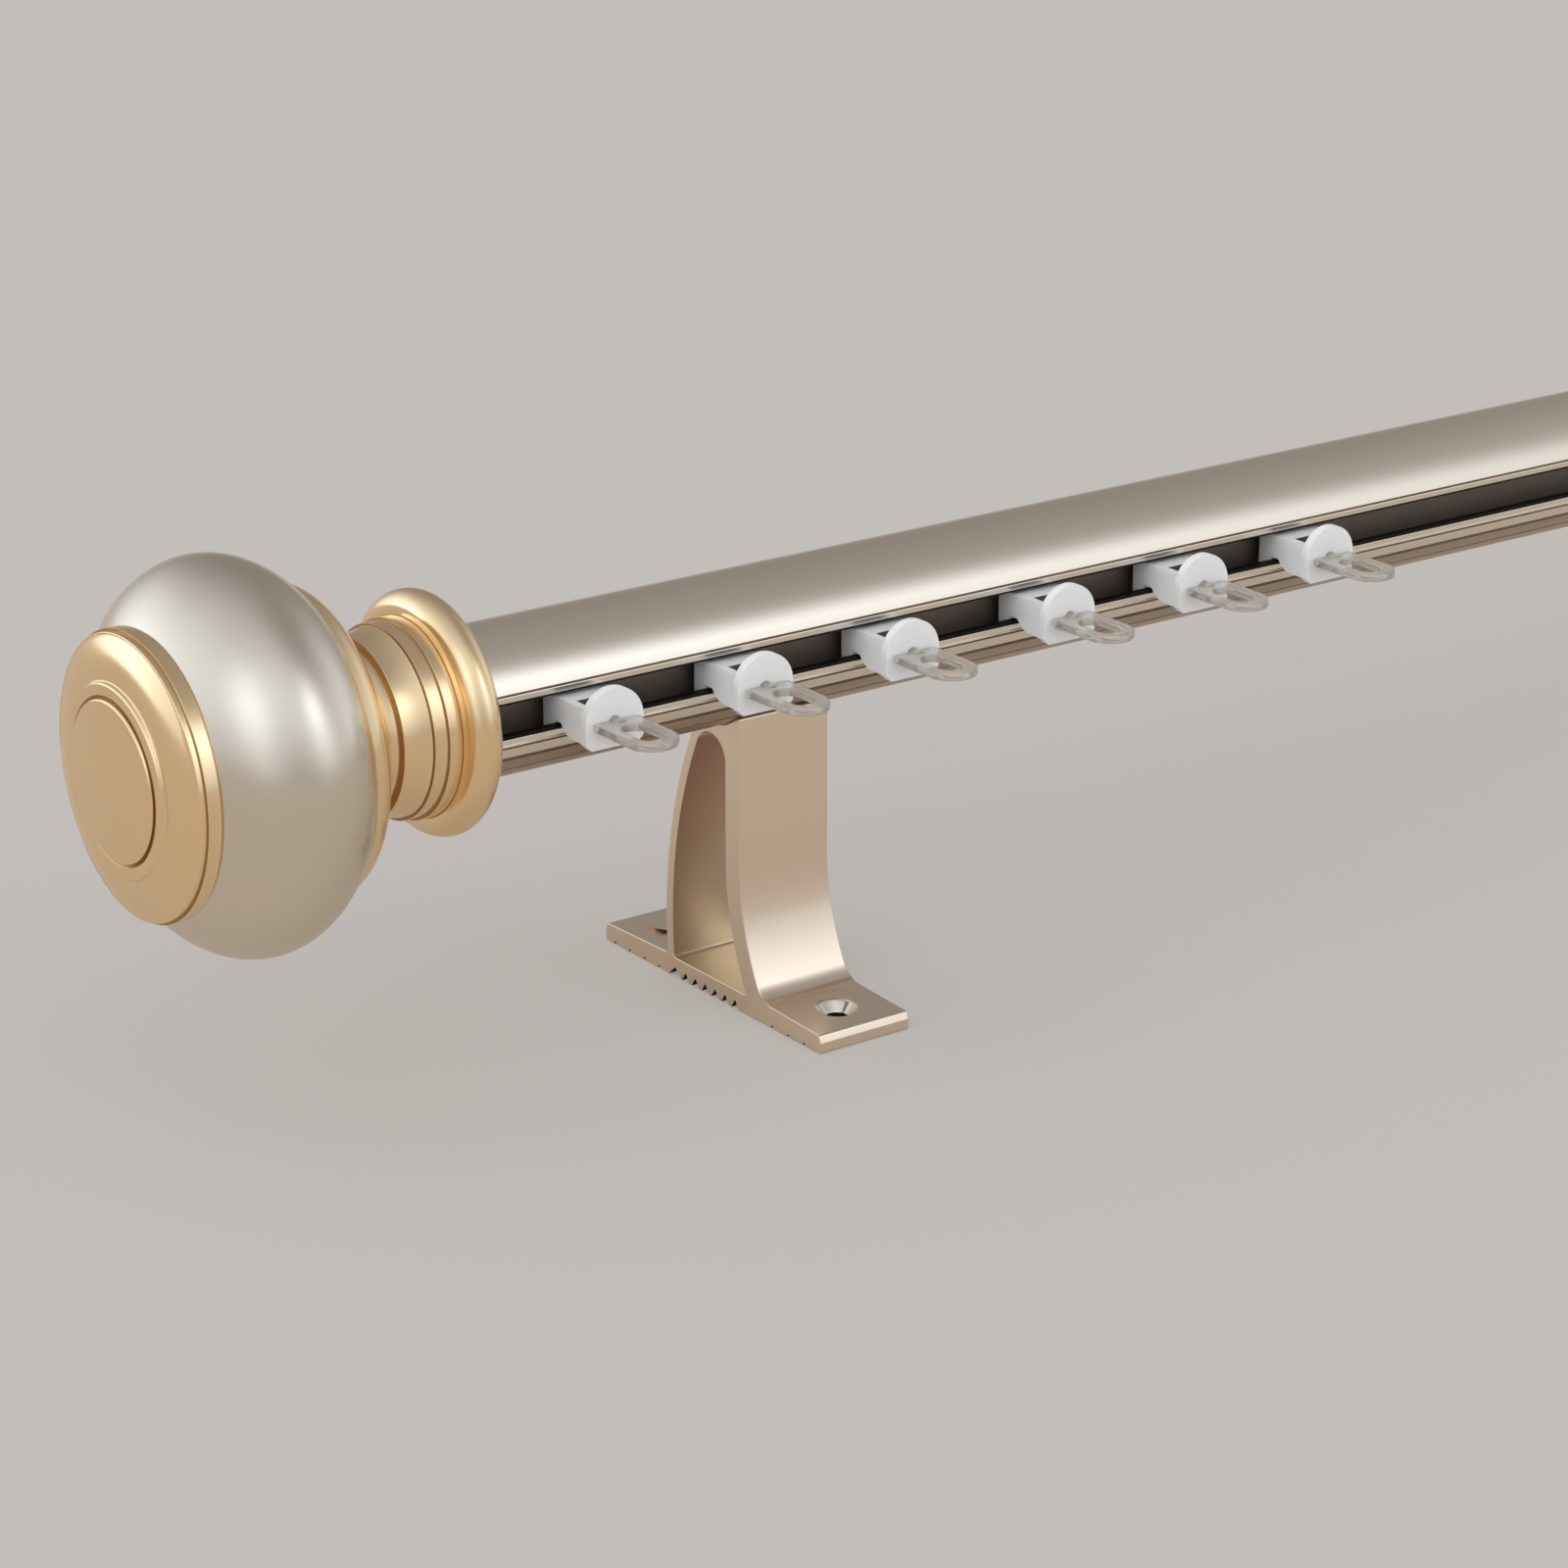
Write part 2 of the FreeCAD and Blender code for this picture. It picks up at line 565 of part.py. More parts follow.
def bracket(x):
    """One bracket: an extruded profile cut to width, with its screw holes."""
    half_base = BASE_LENGTH / 2
    section = bracket_outline().cut([bracket_hollow()] + underside_notches())
    body = extruded(section, -BRACKET_WIDTH / 2, BRACKET_WIDTH)
    for height, radius in ((BASE_END_THICKNESS, BASE_TOP_ROUND), (0, BASE_EDGE_ROUND)):
        ends = edges_along_x(body, -half_base, height) + edges_along_x(body, half_base, height)
        body = body.makeFillet(radius, ends)
    foot_drop = NEAR_FLARE_START - BASE_ROOT_THICKNESS
    foot_y = -NEAR_LEG_FACE - NEAR_FLARE_RADIUS + math.sqrt(NEAR_FLARE_RADIUS**2 - foot_drop**2)
    body = body.makeFillet(NEAR_FOOT_ROUND, edges_along_x(body, foot_y, BASE_ROOT_THICKNESS))
    holes = [wall_screw_hole(side * WALL_HOLE_SPACING / 2) for side in (-1, 1)]
    body = body.cut(holes + [clamp_screw_hole()])
    body.translate(FreeCAD.Vector(x, 0, 0))
    return body


def clamp_plate(x):
    """Threaded steel plate that sits on the ledges of the rail's clamp channel."""
    half_width = CLAMP_CHANNEL_HALF_WIDTH - CLAMP_PLATE_SIDE_CLEARANCE
    low = RAIL_AXIS_HEIGHT + CLAMP_LEDGE_Z
    corner = FreeCAD.Vector(x - CLAMP_PLATE_LENGTH / 2, -half_width, low)
    plate = Part.makeBox(CLAMP_PLATE_LENGTH, 2 * half_width, CLAMP_PLATE_THICKNESS, corner)
    thread = cylinder(CLAMP_SCREW_RADIUS + THREAD_CLEARANCE, CLAMP_PLATE_THICKNESS, (x, 0, low), (0, 0, 1))
    return plate.cut(thread)


def clamp_screw(x):
    """Pan-head screw that pulls the clamp plate and the rail down on the saddle."""
    tip = RAIL_AXIS_HEIGHT + CLAMP_CEILING_Z - CLAMP_SCREW_TIP_CLEARANCE
    head_base = CLAMP_SEAT_Z - CLAMP_SCREW_HEAD_HEIGHT
    head = cylinder(CLAMP_SCREW_HEAD_RADIUS, CLAMP_SCREW_HEAD_HEIGHT, (x, 0, head_base), (0, 0, 1))
    shank = cylinder(CLAMP_SCREW_RADIUS, tip - CLAMP_SEAT_Z, (x, 0, CLAMP_SEAT_Z), (0, 0, 1))
    drive = cylinder(DRIVE_RADIUS, DRIVE_DEPTH, (x, 0, head_base), (0, 0, 1))
    return head.fuse(shank).cut(drive)


def finial_face(side, start, *steps):
    """Face beside the rail's axis from (length, radius) points of one finial."""
    return face_from_steps(
        lambda length, radius: FreeCAD.Vector(side * (FLANGE_FACE + length), 0, radius),
        start,
        steps,
    )


def turned(side, start, *steps):
    """Solid turned about the rail's axis from (length, radius) points of one finial."""
    face = finial_face(side, start, *steps)
    solid = face.revolve(FreeCAD.Vector(0, 0, 0), FreeCAD.Vector(1, 0, 0), 360)
    if solid.Volume < 0:
        solid.reverse()
    return solid


def ball_radius_at(offset, half_length, radius):
    """Radius of the oblate ball at an axial distance from its middle."""
    return radius * math.sqrt(1 - (offset / half_length) ** 2)


def ball_mouth_radius(offset):
    """Inner radius of the hollow ball where it is cut open."""
    return ball_radius_at(offset, BALL_HALF_LENGTH - BALL_WALL, BALL_RADIUS - BALL_WALL)


def finial_neck(side):
    """Gold neck: flange bead, stepped bands, neck, cove and the collar that the ball sits on."""
    bead_centre_radius = FLANGE_RADIUS - FLANGE_BEAD_RADIUS
    band_radius = NECK_RADIUS + NECK_FLARE + STEP_BAND_HEIGHT
    cove_radius = NECK_RADIUS - NECK_EDGE_HEIGHT
    collar_radius = ball_radius_at(BALL_COLLAR_CUT, BALL_HALF_LENGTH, BALL_RADIUS)
    spigot_radius = ball_mouth_radius(BALL_COLLAR_CUT) - SPIGOT_CLEARANCE
    socket_radius = RAIL_RADIUS + SOCKET_CLEARANCE
    pass_radius = TIE_SCREW_RADIUS + TIE_SCREW_PASS_CLEARANCE
    cove_middle = (
        (NECK_EDGE + COLLAR_START) / 2 + COVE_SAG / 2,
        (cove_radius + COLLAR_RIM_RADIUS) / 2 - COVE_SAG / 2,
    )
    collar_middle = (
        (COLLAR_START + COLLAR_END) / 2 - COLLAR_BULGE / 2,
        (COLLAR_RIM_RADIUS + collar_radius) / 2 + COLLAR_BULGE / 2,
    )
    second_band = STEPS_START + STEP_BAND_LENGTH
    body = turned(
        side,
        (0, socket_radius),
        [(0, bead_centre_radius)],
        [(FLANGE_BEAD_RADIUS, FLANGE_RADIUS), (STEPS_START, bead_centre_radius)],
        [(STEPS_START, band_radius + STEP_BAND_HEIGHT)],
        [(second_band - STEP_BAND_ROUND, band_radius + STEP_BAND_HEIGHT)],
        [(second_band, band_radius)],
        [(NECK_START - STEP_BAND_ROUND, band_radius)],
        [(NECK_START, NECK_RADIUS + NECK_FLARE)],
        [(NECK_START + NECK_LENGTH / 2, NECK_RADIUS + NECK_FLARE / 4), (NECK_EDGE, NECK_RADIUS)],
        [(NECK_EDGE, cove_radius)],
        [cove_middle, (COLLAR_START, COLLAR_RIM_RADIUS)],
        [collar_middle, (COLLAR_END, collar_radius)],
        [(COLLAR_END, spigot_radius)],
        [(COLLAR_END + SPIGOT_LENGTH, spigot_radius)],
        [(COLLAR_END + SPIGOT_LENGTH, pass_radius)],
        [(NECK_SHOULDER, pass_radius)],
        [(NECK_SHOULDER, HEAD_ROOM_RADIUS)],
        [(RAIL_INSERTION, HEAD_ROOM_RADIUS)],
        [(RAIL_INSERTION, socket_radius)],
    )
    centre = side * (FLANGE_FACE + SET_SCREW_PLACE)
    thread_start = (centre, RAIL_RADIUS, 0)
    thread = cylinder(SET_SCREW_RADIUS + THREAD_CLEARANCE, NECK_RADIUS, thread_start, (0, 1, 0))
    return raised_to_axis(body.cut(thread))


def ellipse_face(side, half_length, radius):
    """Elliptic face whose long axis stands on the finial's axis."""
    centre = FreeCAD.Vector(side * (FLANGE_FACE + BALL_CENTRE), 0, 0)
    long_end = centre + FreeCAD.Vector(0, 0, radius)
    short_end = centre + FreeCAD.Vector(half_length, 0, 0)
    return Part.Face(Part.Wire(Part.Ellipse(long_end, short_end, centre).toShape()))


def finial_ball(side):
    """Hollow oblate ball, open at both ends where the collar and the cap close it."""
    shell = ellipse_face(side, BALL_HALF_LENGTH, BALL_RADIUS)
    shell = shell.cut(ellipse_face(side, BALL_HALF_LENGTH - BALL_WALL, BALL_RADIUS - BALL_WALL))
    reach = BALL_RADIUS + OVERCUT
    window = finial_face(side, (COLLAR_END, 0), [(CAP_START, 0)], [(CAP_START, reach)], [(COLLAR_END, reach)])
    ring = shell.common(window)
    solid = ring.revolve(FreeCAD.Vector(0, 0, 0), FreeCAD.Vector(1, 0, 0), 360)
    return raised_to_axis(solid)


def finial_cap(side):
    """Gold end cap: stepped rim, sloping face, raised ring and domed boss, with a hub behind."""
    rim_radius = ball_radius_at(BALL_CAP_CUT, BALL_HALF_LENGTH, BALL_RADIUS) + CAP_OVERHANG
    spigot_radius = ball_mouth_radius(BALL_CAP_CUT) - SPIGOT_CLEARANCE
    thread_radius = TIE_SCREW_RADIUS + THREAD_CLEARANCE
    rim_step = CAP_START + CAP_BAND_LENGTH
    rim_end = rim_step + CAP_RIM_LENGTH
    step_radius = rim_radius - CAP_BAND_STEP
    face_outer = step_radius - CAP_RIM_ROUND
    face_end = rim_end + CAP_FACE_RISE
    ring_top = face_end + CAP_RING_HEIGHT
    ring_inner = CAP_RING_RADIUS - CAP_RING_WIDTH
    boss_edge = ring_top - CAP_GROOVE_DEPTH + CAP_BOSS_HEIGHT
    corner = CAP_RIM_ROUND * (1 - math.sqrt(0.5))
    ring_corner = CAP_RING_HEIGHT * (1 - math.sqrt(0.5))
    groove_floor = ring_top - CAP_GROOVE_DEPTH
    dome_radius = (CAP_BOSS_RADIUS**2 + CAP_BOSS_DOME**2) / (2 * CAP_BOSS_DOME)
    dome_drop = dome_radius - math.sqrt(dome_radius**2 - (CAP_BOSS_RADIUS / 2) ** 2)
    dome_top = boss_edge + CAP_BOSS_DOME
    thread_end = CAP_START - CAP_HUB_LENGTH + TIE_SCREW_THREAD_ENGAGEMENT + THREAD_CLEARANCE
    body = turned(
        side,
        (CAP_START - CAP_HUB_LENGTH, thread_radius),
        [(CAP_START - CAP_HUB_LENGTH, CAP_HUB_RADIUS)],
        [(CAP_START - SPIGOT_LENGTH, CAP_HUB_RADIUS)],
        [(CAP_START - SPIGOT_LENGTH, spigot_radius)],
        [(CAP_START, spigot_radius)],
        [(CAP_START, rim_radius)],
        [(rim_step, rim_radius)],
        [(rim_step, step_radius)],
        [(rim_end - CAP_RIM_ROUND, step_radius)],
        [(rim_end - corner, step_radius - corner), (rim_end, face_outer)],
        [
            ((rim_end + face_end) / 2 + CAP_FACE_RISE / 5, (face_outer + CAP_RING_RADIUS) / 2),
            (face_end, CAP_RING_RADIUS),
        ],
        [
            (ring_top - ring_corner, CAP_RING_RADIUS - ring_corner),
            (ring_top, CAP_RING_RADIUS - CAP_RING_HEIGHT),
        ],
        [(ring_top, ring_inner)],
        [(groove_floor, CAP_BOSS_RADIUS)],
        [(boss_edge, CAP_BOSS_RADIUS)],
        [(dome_top - dome_drop, CAP_BOSS_RADIUS / 2), (dome_top, 0)],
        [(thread_end, 0)],
        [(thread_end, thread_radius)],
    )
    return raised_to_axis(body)


def finial_tie_screw(side):
    """Long screw from inside the neck through the ball into the cap's hub."""
    tip = CAP_START - CAP_HUB_LENGTH + TIE_SCREW_THREAD_ENGAGEMENT
    drive_floor = NECK_SHOULDER - TIE_SCREW_HEAD_HEIGHT + DRIVE_DEPTH
    body = turned(
        side,
        (drive_floor, 0),
        [(drive_floor, DRIVE_RADIUS)],
        [(NECK_SHOULDER - TIE_SCREW_HEAD_HEIGHT, DRIVE_RADIUS)],
        [(NECK_SHOULDER - TIE_SCREW_HEAD_HEIGHT, TIE_SCREW_HEAD_RADIUS)],
        [(NECK_SHOULDER, TIE_SCREW_HEAD_RADIUS)],
        [(NECK_SHOULDER, TIE_SCREW_RADIUS)],
        [(tip, TIE_SCREW_RADIUS)],
        [(tip, 0)],
    )
    return raised_to_axis(body)


def finial_set_screw(side):
    """Grub screw in the neck's hidden side that presses on the rail."""
    centre = side * (FLANGE_FACE + SET_SCREW_PLACE)
    inner = RAIL_RADIUS + SET_SCREW_TIP_CLEARANCE
    outer = NECK_RADIUS - SET_SCREW_RECESS
    body = cylinder(SET_SCREW_RADIUS, outer - inner, (centre, inner, 0), (0, 1, 0))
    drive = cylinder(DRIVE_RADIUS, DRIVE_DEPTH, (centre, outer - DRIVE_DEPTH, 0), (0, 1, 0))
    return raised_to_axis(body.cut(drive))


def track_pieces():
    """Every piece of the track under the name of its node."""
    pieces = {
        "rail": rail(),
        "upper_glide_strip": glide_strip(1),
        "lower_glide_strip": glide_strip(-1),
    }
    for name, side in (("left", -1), ("right", 1)):
        pieces["bracket_" + name] = bracket(side * BRACKET_PLACE)
        pieces["clamp_plate_" + name] = clamp_plate(side * BRACKET_PLACE)
        pieces["clamp_screw_" + name] = clamp_screw(side * BRACKET_PLACE)
        pieces["finial_neck_" + name] = finial_neck(side)
        pieces["finial_ball_" + name] = finial_ball(side)
        pieces["finial_cap_" + name] = finial_cap(side)
        pieces["finial_tie_screw_" + name] = finial_tie_screw(side)
        pieces["finial_set_screw_" + name] = finial_set_screw(side)
    for number, place in enumerate(RUNNER_PLACES, start=1):
        pieces[f"runner_{number}"] = runner(place - FLANGE_FACE)
        pieces[f"eyelet_{number}"] = eyelet(place - FLANGE_FACE)
    return pieces


os.makedirs("parts", exist_ok=True)
for node, shape in track_pieces().items():
    shape.exportStep(f"parts/{node}.step")
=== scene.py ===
import bpy
import bmesh
import math
from mathutils import Matrix, Vector
from mathutils.geometry import tessellate_polygon


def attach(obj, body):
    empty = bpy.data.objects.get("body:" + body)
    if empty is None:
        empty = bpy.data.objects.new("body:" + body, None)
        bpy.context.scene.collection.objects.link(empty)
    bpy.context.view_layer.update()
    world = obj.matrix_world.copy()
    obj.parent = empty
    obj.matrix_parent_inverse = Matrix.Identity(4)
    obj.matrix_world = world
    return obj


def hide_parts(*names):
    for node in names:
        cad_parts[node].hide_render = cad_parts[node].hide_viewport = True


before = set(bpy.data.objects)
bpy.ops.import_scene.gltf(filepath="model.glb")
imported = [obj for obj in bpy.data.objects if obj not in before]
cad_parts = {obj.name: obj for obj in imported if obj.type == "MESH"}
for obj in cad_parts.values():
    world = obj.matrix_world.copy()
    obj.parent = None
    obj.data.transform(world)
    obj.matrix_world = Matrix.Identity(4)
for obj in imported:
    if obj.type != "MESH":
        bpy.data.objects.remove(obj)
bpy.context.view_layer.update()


# Rail
# An aluminium extrusion, 29 mm across, champagne anodised. The slot in front opens into the channel that
# the runners hang in, and the narrow slot below takes the clamp plates. Fine drawn lines follow the slot.
MM = 0.001
AXIS_HEIGHT = 71.1
RAIL_RADIUS = 14.5
RAIL_END = 300.0
LIP_FACE = -13.3
LIP_HALF_HEIGHT = 4.65
SLOT_HALF_HEIGHT = 3.5
CHANNEL_FRONT = -11.9
CHANNEL_BACK = -5.7
CHANNEL_HALF_HEIGHT = 6.0
CLAMP_SLOT_HALF_WIDTH = 2.75
CLAMP_CHANNEL_HALF_WIDTH = 4.6
CLAMP_LEDGE = -12.8
CLAMP_CEILING = -8.9
RAIL_EDGE_ROUND = 0.12
# Lines drawn into the skin, as width and depth, with their degrees below the slot's middle.
DRAWN_LINE = (0.45, 0.3)
V_GROOVE = (0.9, 0.5)
LIP_LINE_OFFSET = 1.5
V_GROOVE_ANGLE = 31.5
LOWER_LINE_ANGLE = 46.0
# Angles past which the lines and the underside get painted shade.
LINE_SHADE_FROM = 20.0
UNDERSIDE_SHADE_FROM = 32.0
CREASE = 32
DIE_LINES = {"line_spacing": 0.45, "line_length": 90.0, "depth": 0.00006}
CHAMPAGNE = "#ECE5DA"
# Painted shade colours follow: the channel, the fine lines and the underside.
CHANNEL_SHADE_BROWN = "#958A80"
LINE_SHADE_BROWN = "#75665A"
UNDERSIDE_SHADE_BROWN = "#B3A496"


def linear(hex_colour):
    """sRGB hex to the linear colour that a shader's socket takes."""
    parts = [int(hex_colour[i : i + 2], 16) / 255 for i in (1, 3, 5)]
    return [c / 12.92 if c <= 0.04045 else ((c + 0.055) / 1.055) ** 2.4 for c in parts] + [1.0]


def feed(node, inputs):
    """Sets a node's inputs; each is a value, or a node or socket to link from."""
    for name, value in inputs.items():
        if isinstance(value, bpy.types.Node):
            value = value.outputs[0]
        if isinstance(value, bpy.types.NodeSocket):
            node.id_data.links.new(value, node.inputs[name])
        else:
            node.inputs[name].default_value = value


def add(tree, kind, inputs=None, **settings):
    """Adds a node with its settings and inputs."""
    node = tree.nodes.new(kind)
    for name, value in settings.items():
        setattr(node, name, value)
    feed(node, inputs or {})
    return node


def arc(centre, radius, start, end, step=3.0):
    """Points of an arc in a section, with angles in degrees from the first axis to the second."""
    count = max(2, math.ceil(abs(end - start) / step))
    turns = [math.radians(start + (end - start) * i / count) for i in range(count + 1)]
    return [(centre[0] + radius * math.cos(t), centre[1] + radius * math.sin(t)) for t in turns]


def rounded(corners, steps=5):
    """Closed outline in which each corner given as (a, b, radius) is rounded."""
    outline = []
    for index, corner in enumerate(corners):
        here = Vector(corner[:2])
        if len(corner) == 2:
            outline.append(here)
            continue
        before = Vector(corners[index - 1][:2]) - here
        after = Vector(corners[(index + 1) % len(corners)][:2]) - here
        half = before.angle(after) / 2
        reach = min(corner[2] / math.tan(half), 0.48 * before.length, 0.48 * after.length)
        radius = reach * math.tan(half)
        centre = here + (before.normalized() + after.normalized()).normalized() * radius / math.sin(half)
        first = here + before.normalized() * reach - centre
        last = here + after.normalized() * reach - centre
        turn = math.atan2(first.cross(last), first.dot(last))
        for i in range(steps + 1):
            outline.append(centre + Matrix.Rotation(turn * i / steps, 2) @ first)
    return outline


def inset(outline, depth):
    """The outline moved inwards by a depth; an outline that runs clockwise is a hole and grows."""
    moved = []
    for index, here in enumerate(outline):
        before = (here - outline[index - 1]).normalized()
        after = (outline[(index + 1) % len(outline)] - here).normalized()
        side = (before + after).normalized()
        moved.append(here + Vector((-side.y, side.x)) * depth / max(side.dot(after), 0.5))
    return moved


def mesh_in_mm(name, vertices, faces):
    """A mesh from points in millimetres."""
    mesh = bpy.data.meshes.new(name)
    mesh.from_pydata([Vector(v) * MM for v in vertices], [], faces)
    return mesh


def new_object(name, data):
    """A new object, linked into the scene."""
    piece = bpy.data.objects.new(name, data)
    bpy.context.collection.objects.link(piece)
    return piece


def shaded_piece(mesh, material, weld, slivers=0.0):
    """Welds a mesh, turns its faces outwards, keeps edges sharp past the crease and makes it an object."""
    work = bmesh.new()
    work.from_mesh(mesh)
    bmesh.ops.remove_doubles(work, verts=work.verts, dist=weld * MM)
    if slivers:
        bmesh.ops.dissolve_degenerate(work, edges=work.edges, dist=slivers * MM)
    bmesh.ops.recalc_face_normals(work, faces=work.faces)
    work.to_mesh(mesh)
    work.free()
    mesh.shade_smooth()
    mesh.set_sharp_from_angle(angle=math.radians(CREASE))
    mesh.materials.append(material)
    return new_object(mesh.name, mesh)


def keep_flats_flat(piece):
    """Gives each corner the normal of its larger faces, so small roundings don't shade flat faces."""
    weighted = piece.modifiers.new("flats", "WEIGHTED_NORMAL")
    weighted.keep_sharp = True
    weighted.weight = 80


def prism(name, place, outlines, low, high, material, edge=0.0, edge_steps=3):
    """Solid between two ends of a section, which is an outline and its holes, with rounded end edges.

    place(a, b, along) gives the point of the section's point (a, b) at a distance along the prism.
    """
    outlines = [[Vector(point) for point in outline] for outline in outlines]
    ring_places = []
    for i in range(edge_steps + 1 if edge else 1):
        turn = math.pi / 2 * i / edge_steps
        ring_places.append((edge * (1 - math.cos(turn)), edge * (1 - math.sin(turn))))
    ends = [(low + along, depth) for along, depth in ring_places]
    ends += [(high - along, depth) for along, depth in reversed(ring_places)]
    vertices = []
    faces = []
    starts = []
    for along, depth in ends:
        starts.append(len(vertices))
        for outline in outlines:
            vertices += [place(point.x, point.y, along) for point in inset(outline, depth)]
    for first, second in zip(starts, starts[1:]):
        offset = 0
        for outline in outlines:
            count = len(outline)
            for i in range(count):
                a = offset + i
                b = offset + (i + 1) % count
                faces.append((first + a, first + b, second + b, second + a))
            offset += count
    for start, (along, depth) in ((starts[0], ends[0]), (starts[-1], ends[-1])):
        loops = [[Vector((p.x, p.y, 0)) for p in inset(outline, depth)] for outline in outlines]
        faces += [tuple(start + index for index in triangle) for triangle in tessellate_polygon(loops)]
    piece = shaded_piece(mesh_in_mm(name, vertices, faces), material, weld=0.002)
    keep_flats_flat(piece)
    return piece


def along_rail(a, b, along):
    """Place for sections across the rail: a is Y and b is the height over the rail's axis."""
    return (along, a, b + AXIS_HEIGHT)


def node_of(tree, kind):
    """The tree's one node of a kind."""
    return next(node for node in tree.nodes if node.type == kind)


def new_finish(name):
    """An empty node material: the material, its node tree and its surface shader."""
    material = bpy.data.materials.new(name)
    material.use_nodes = True
    return material, material.node_tree, node_of(material.node_tree, "BSDF_PRINCIPLED")


def relief(tree, noise, depth):
    """Bump node by which a noise raises the surface; the depth is in millimetres."""
    height = noise.outputs["Fac"]
    return add(tree, "ShaderNodeBump", {"Height": height, "Distance": depth * MM, "Strength": 1.0})


def spread(tree, noise, middle, by, low=0.3, high=0.7):
    """Range node that turns a noise between low and high into values around a middle."""
    limits = {"From Min": low, "From Max": high, "To Min": middle - by, "To Max": middle + by}
    return add(tree, "ShaderNodeMapRange", {"Value": noise.outputs["Fac"], **limits})


def drawn_metal(name, colour, roughness, line_spacing, line_length, depth, spread_by=0.012):
    """Metal with fine lines along X, which change its roughness and its relief; sizes in millimetres."""
    material, tree, shader = new_finish(name)
    place = add(tree, "ShaderNodeTexCoord").outputs["Object"]
    scale = (1 / (line_length * MM), 1 / (line_spacing * MM), 1 / (line_spacing * MM))
    lines = add(tree, "ShaderNodeMapping", {"Vector": place, "Scale": scale})
    noise = add(tree, "ShaderNodeTexNoise", {"Vector": lines, "Scale": 1.0, "Detail": 2.0})
    feed(shader, {"Base Color": linear(colour), "Metallic": 1.0, "Normal": relief(tree, noise, depth)})
    feed(shader, {"Roughness": spread(tree, noise, roughness, spread_by)})
    return material


# Champagne anodised aluminium, drawn and satin etched: a warm silver with soft wide reflections.
champagne_rail = drawn_metal("anodised_champagne_rail", CHAMPAGNE, roughness=0.25, **DIE_LINES)


def skin_gap(angle, width, depth):
    """Three points of a V line in the rail's skin at an angle, and the angles where it starts and ends."""
    half = math.degrees(width / 2 / RAIL_RADIUS)
    edge = [math.radians(angle - half), math.radians(angle), math.radians(angle + half)]
    radii = (RAIL_RADIUS, RAIL_RADIUS - depth, RAIL_RADIUS)
    points = [(r * math.cos(t), r * math.sin(t)) for r, t in zip(radii, edge)]
    return points, angle - half, angle + half


lip_angle = math.degrees(math.asin(LIP_HALF_HEIGHT / RAIL_RADIUS))
clamp_angle = math.degrees(math.asin(CLAMP_SLOT_HALF_WIDTH / RAIL_RADIUS))
slot_corners = (
    (LIP_FACE, LIP_HALF_HEIGHT),
    (LIP_FACE, SLOT_HALF_HEIGHT),
    (CHANNEL_FRONT, SLOT_HALF_HEIGHT),
    (CHANNEL_FRONT, CHANNEL_HALF_HEIGHT),
    (CHANNEL_BACK, CHANNEL_HALF_HEIGHT),
)
rail_outline = []
skin_from = 270 + clamp_angle - 360
skin_lines = (
    (180 - lip_angle - LIP_LINE_OFFSET, *DRAWN_LINE),
    (180 + lip_angle + LIP_LINE_OFFSET, *DRAWN_LINE),
    (180 + V_GROOVE_ANGLE, *V_GROOVE),
    (180 + LOWER_LINE_ANGLE, *DRAWN_LINE),
)
for line_angle, line_width, line_depth in skin_lines:
    line_points, line_start, line_end = skin_gap(line_angle, line_width, line_depth)
    if line_angle > 180 and skin_from < 180:
        rail_outline += arc((0, 0), RAIL_RADIUS, skin_from, 180 - lip_angle)
        rail_outline += [(a, b, RAIL_EDGE_ROUND) for a, b in slot_corners]
        rail_outline += [(a, -b, RAIL_EDGE_ROUND) for a, b in reversed(slot_corners)]
        skin_from = 180 + lip_angle
    rail_outline += arc((0, 0), RAIL_RADIUS, skin_from, line_start)[:-1] + line_points
    skin_from = line_end
rail_outline += arc((0, 0), RAIL_RADIUS, skin_from, 270 - clamp_angle)
rail_outline += [
    (-CLAMP_SLOT_HALF_WIDTH, CLAMP_LEDGE),
    (-CLAMP_CHANNEL_HALF_WIDTH, CLAMP_LEDGE, RAIL_EDGE_ROUND),
    (-CLAMP_CHANNEL_HALF_WIDTH, CLAMP_CEILING, RAIL_EDGE_ROUND),
    (CLAMP_CHANNEL_HALF_WIDTH, CLAMP_CEILING, RAIL_EDGE_ROUND),
    (CLAMP_CHANNEL_HALF_WIDTH, CLAMP_LEDGE, RAIL_EDGE_ROUND),
    (CLAMP_SLOT_HALF_WIDTH, CLAMP_LEDGE),
]
rail = prism("rail_tube", along_rail, [rounded(rail_outline)], -RAIL_END, RAIL_END, champagne_rail)

# The channel's walls are painted shade: a dark brown, nearly matt finish that stands for the shade inside
# the channel. A slide lacquer is a guess that stands for it.
channel_shade_finish = drawn_metal("brown_slide_lacquer_on_aluminium", CHANNEL_SHADE_BROWN, roughness=0.55, **DIE_LINES)
# Painted shade: the fine lines are dark, and the skin below the V groove is browner than above, standing
# for the shaded floor it reflects. Why is a guess too.
shaded_line_finish = drawn_metal("darkened_die_line", LINE_SHADE_BROWN, roughness=0.5, **DIE_LINES)
underside_shade_finish = drawn_metal("etched_champagne_underside", UNDERSIDE_SHADE_BROWN, roughness=0.32, **DIE_LINES)
for finish in (channel_shade_finish, shaded_line_finish, underside_shade_finish):
    rail.data.materials.append(finish)
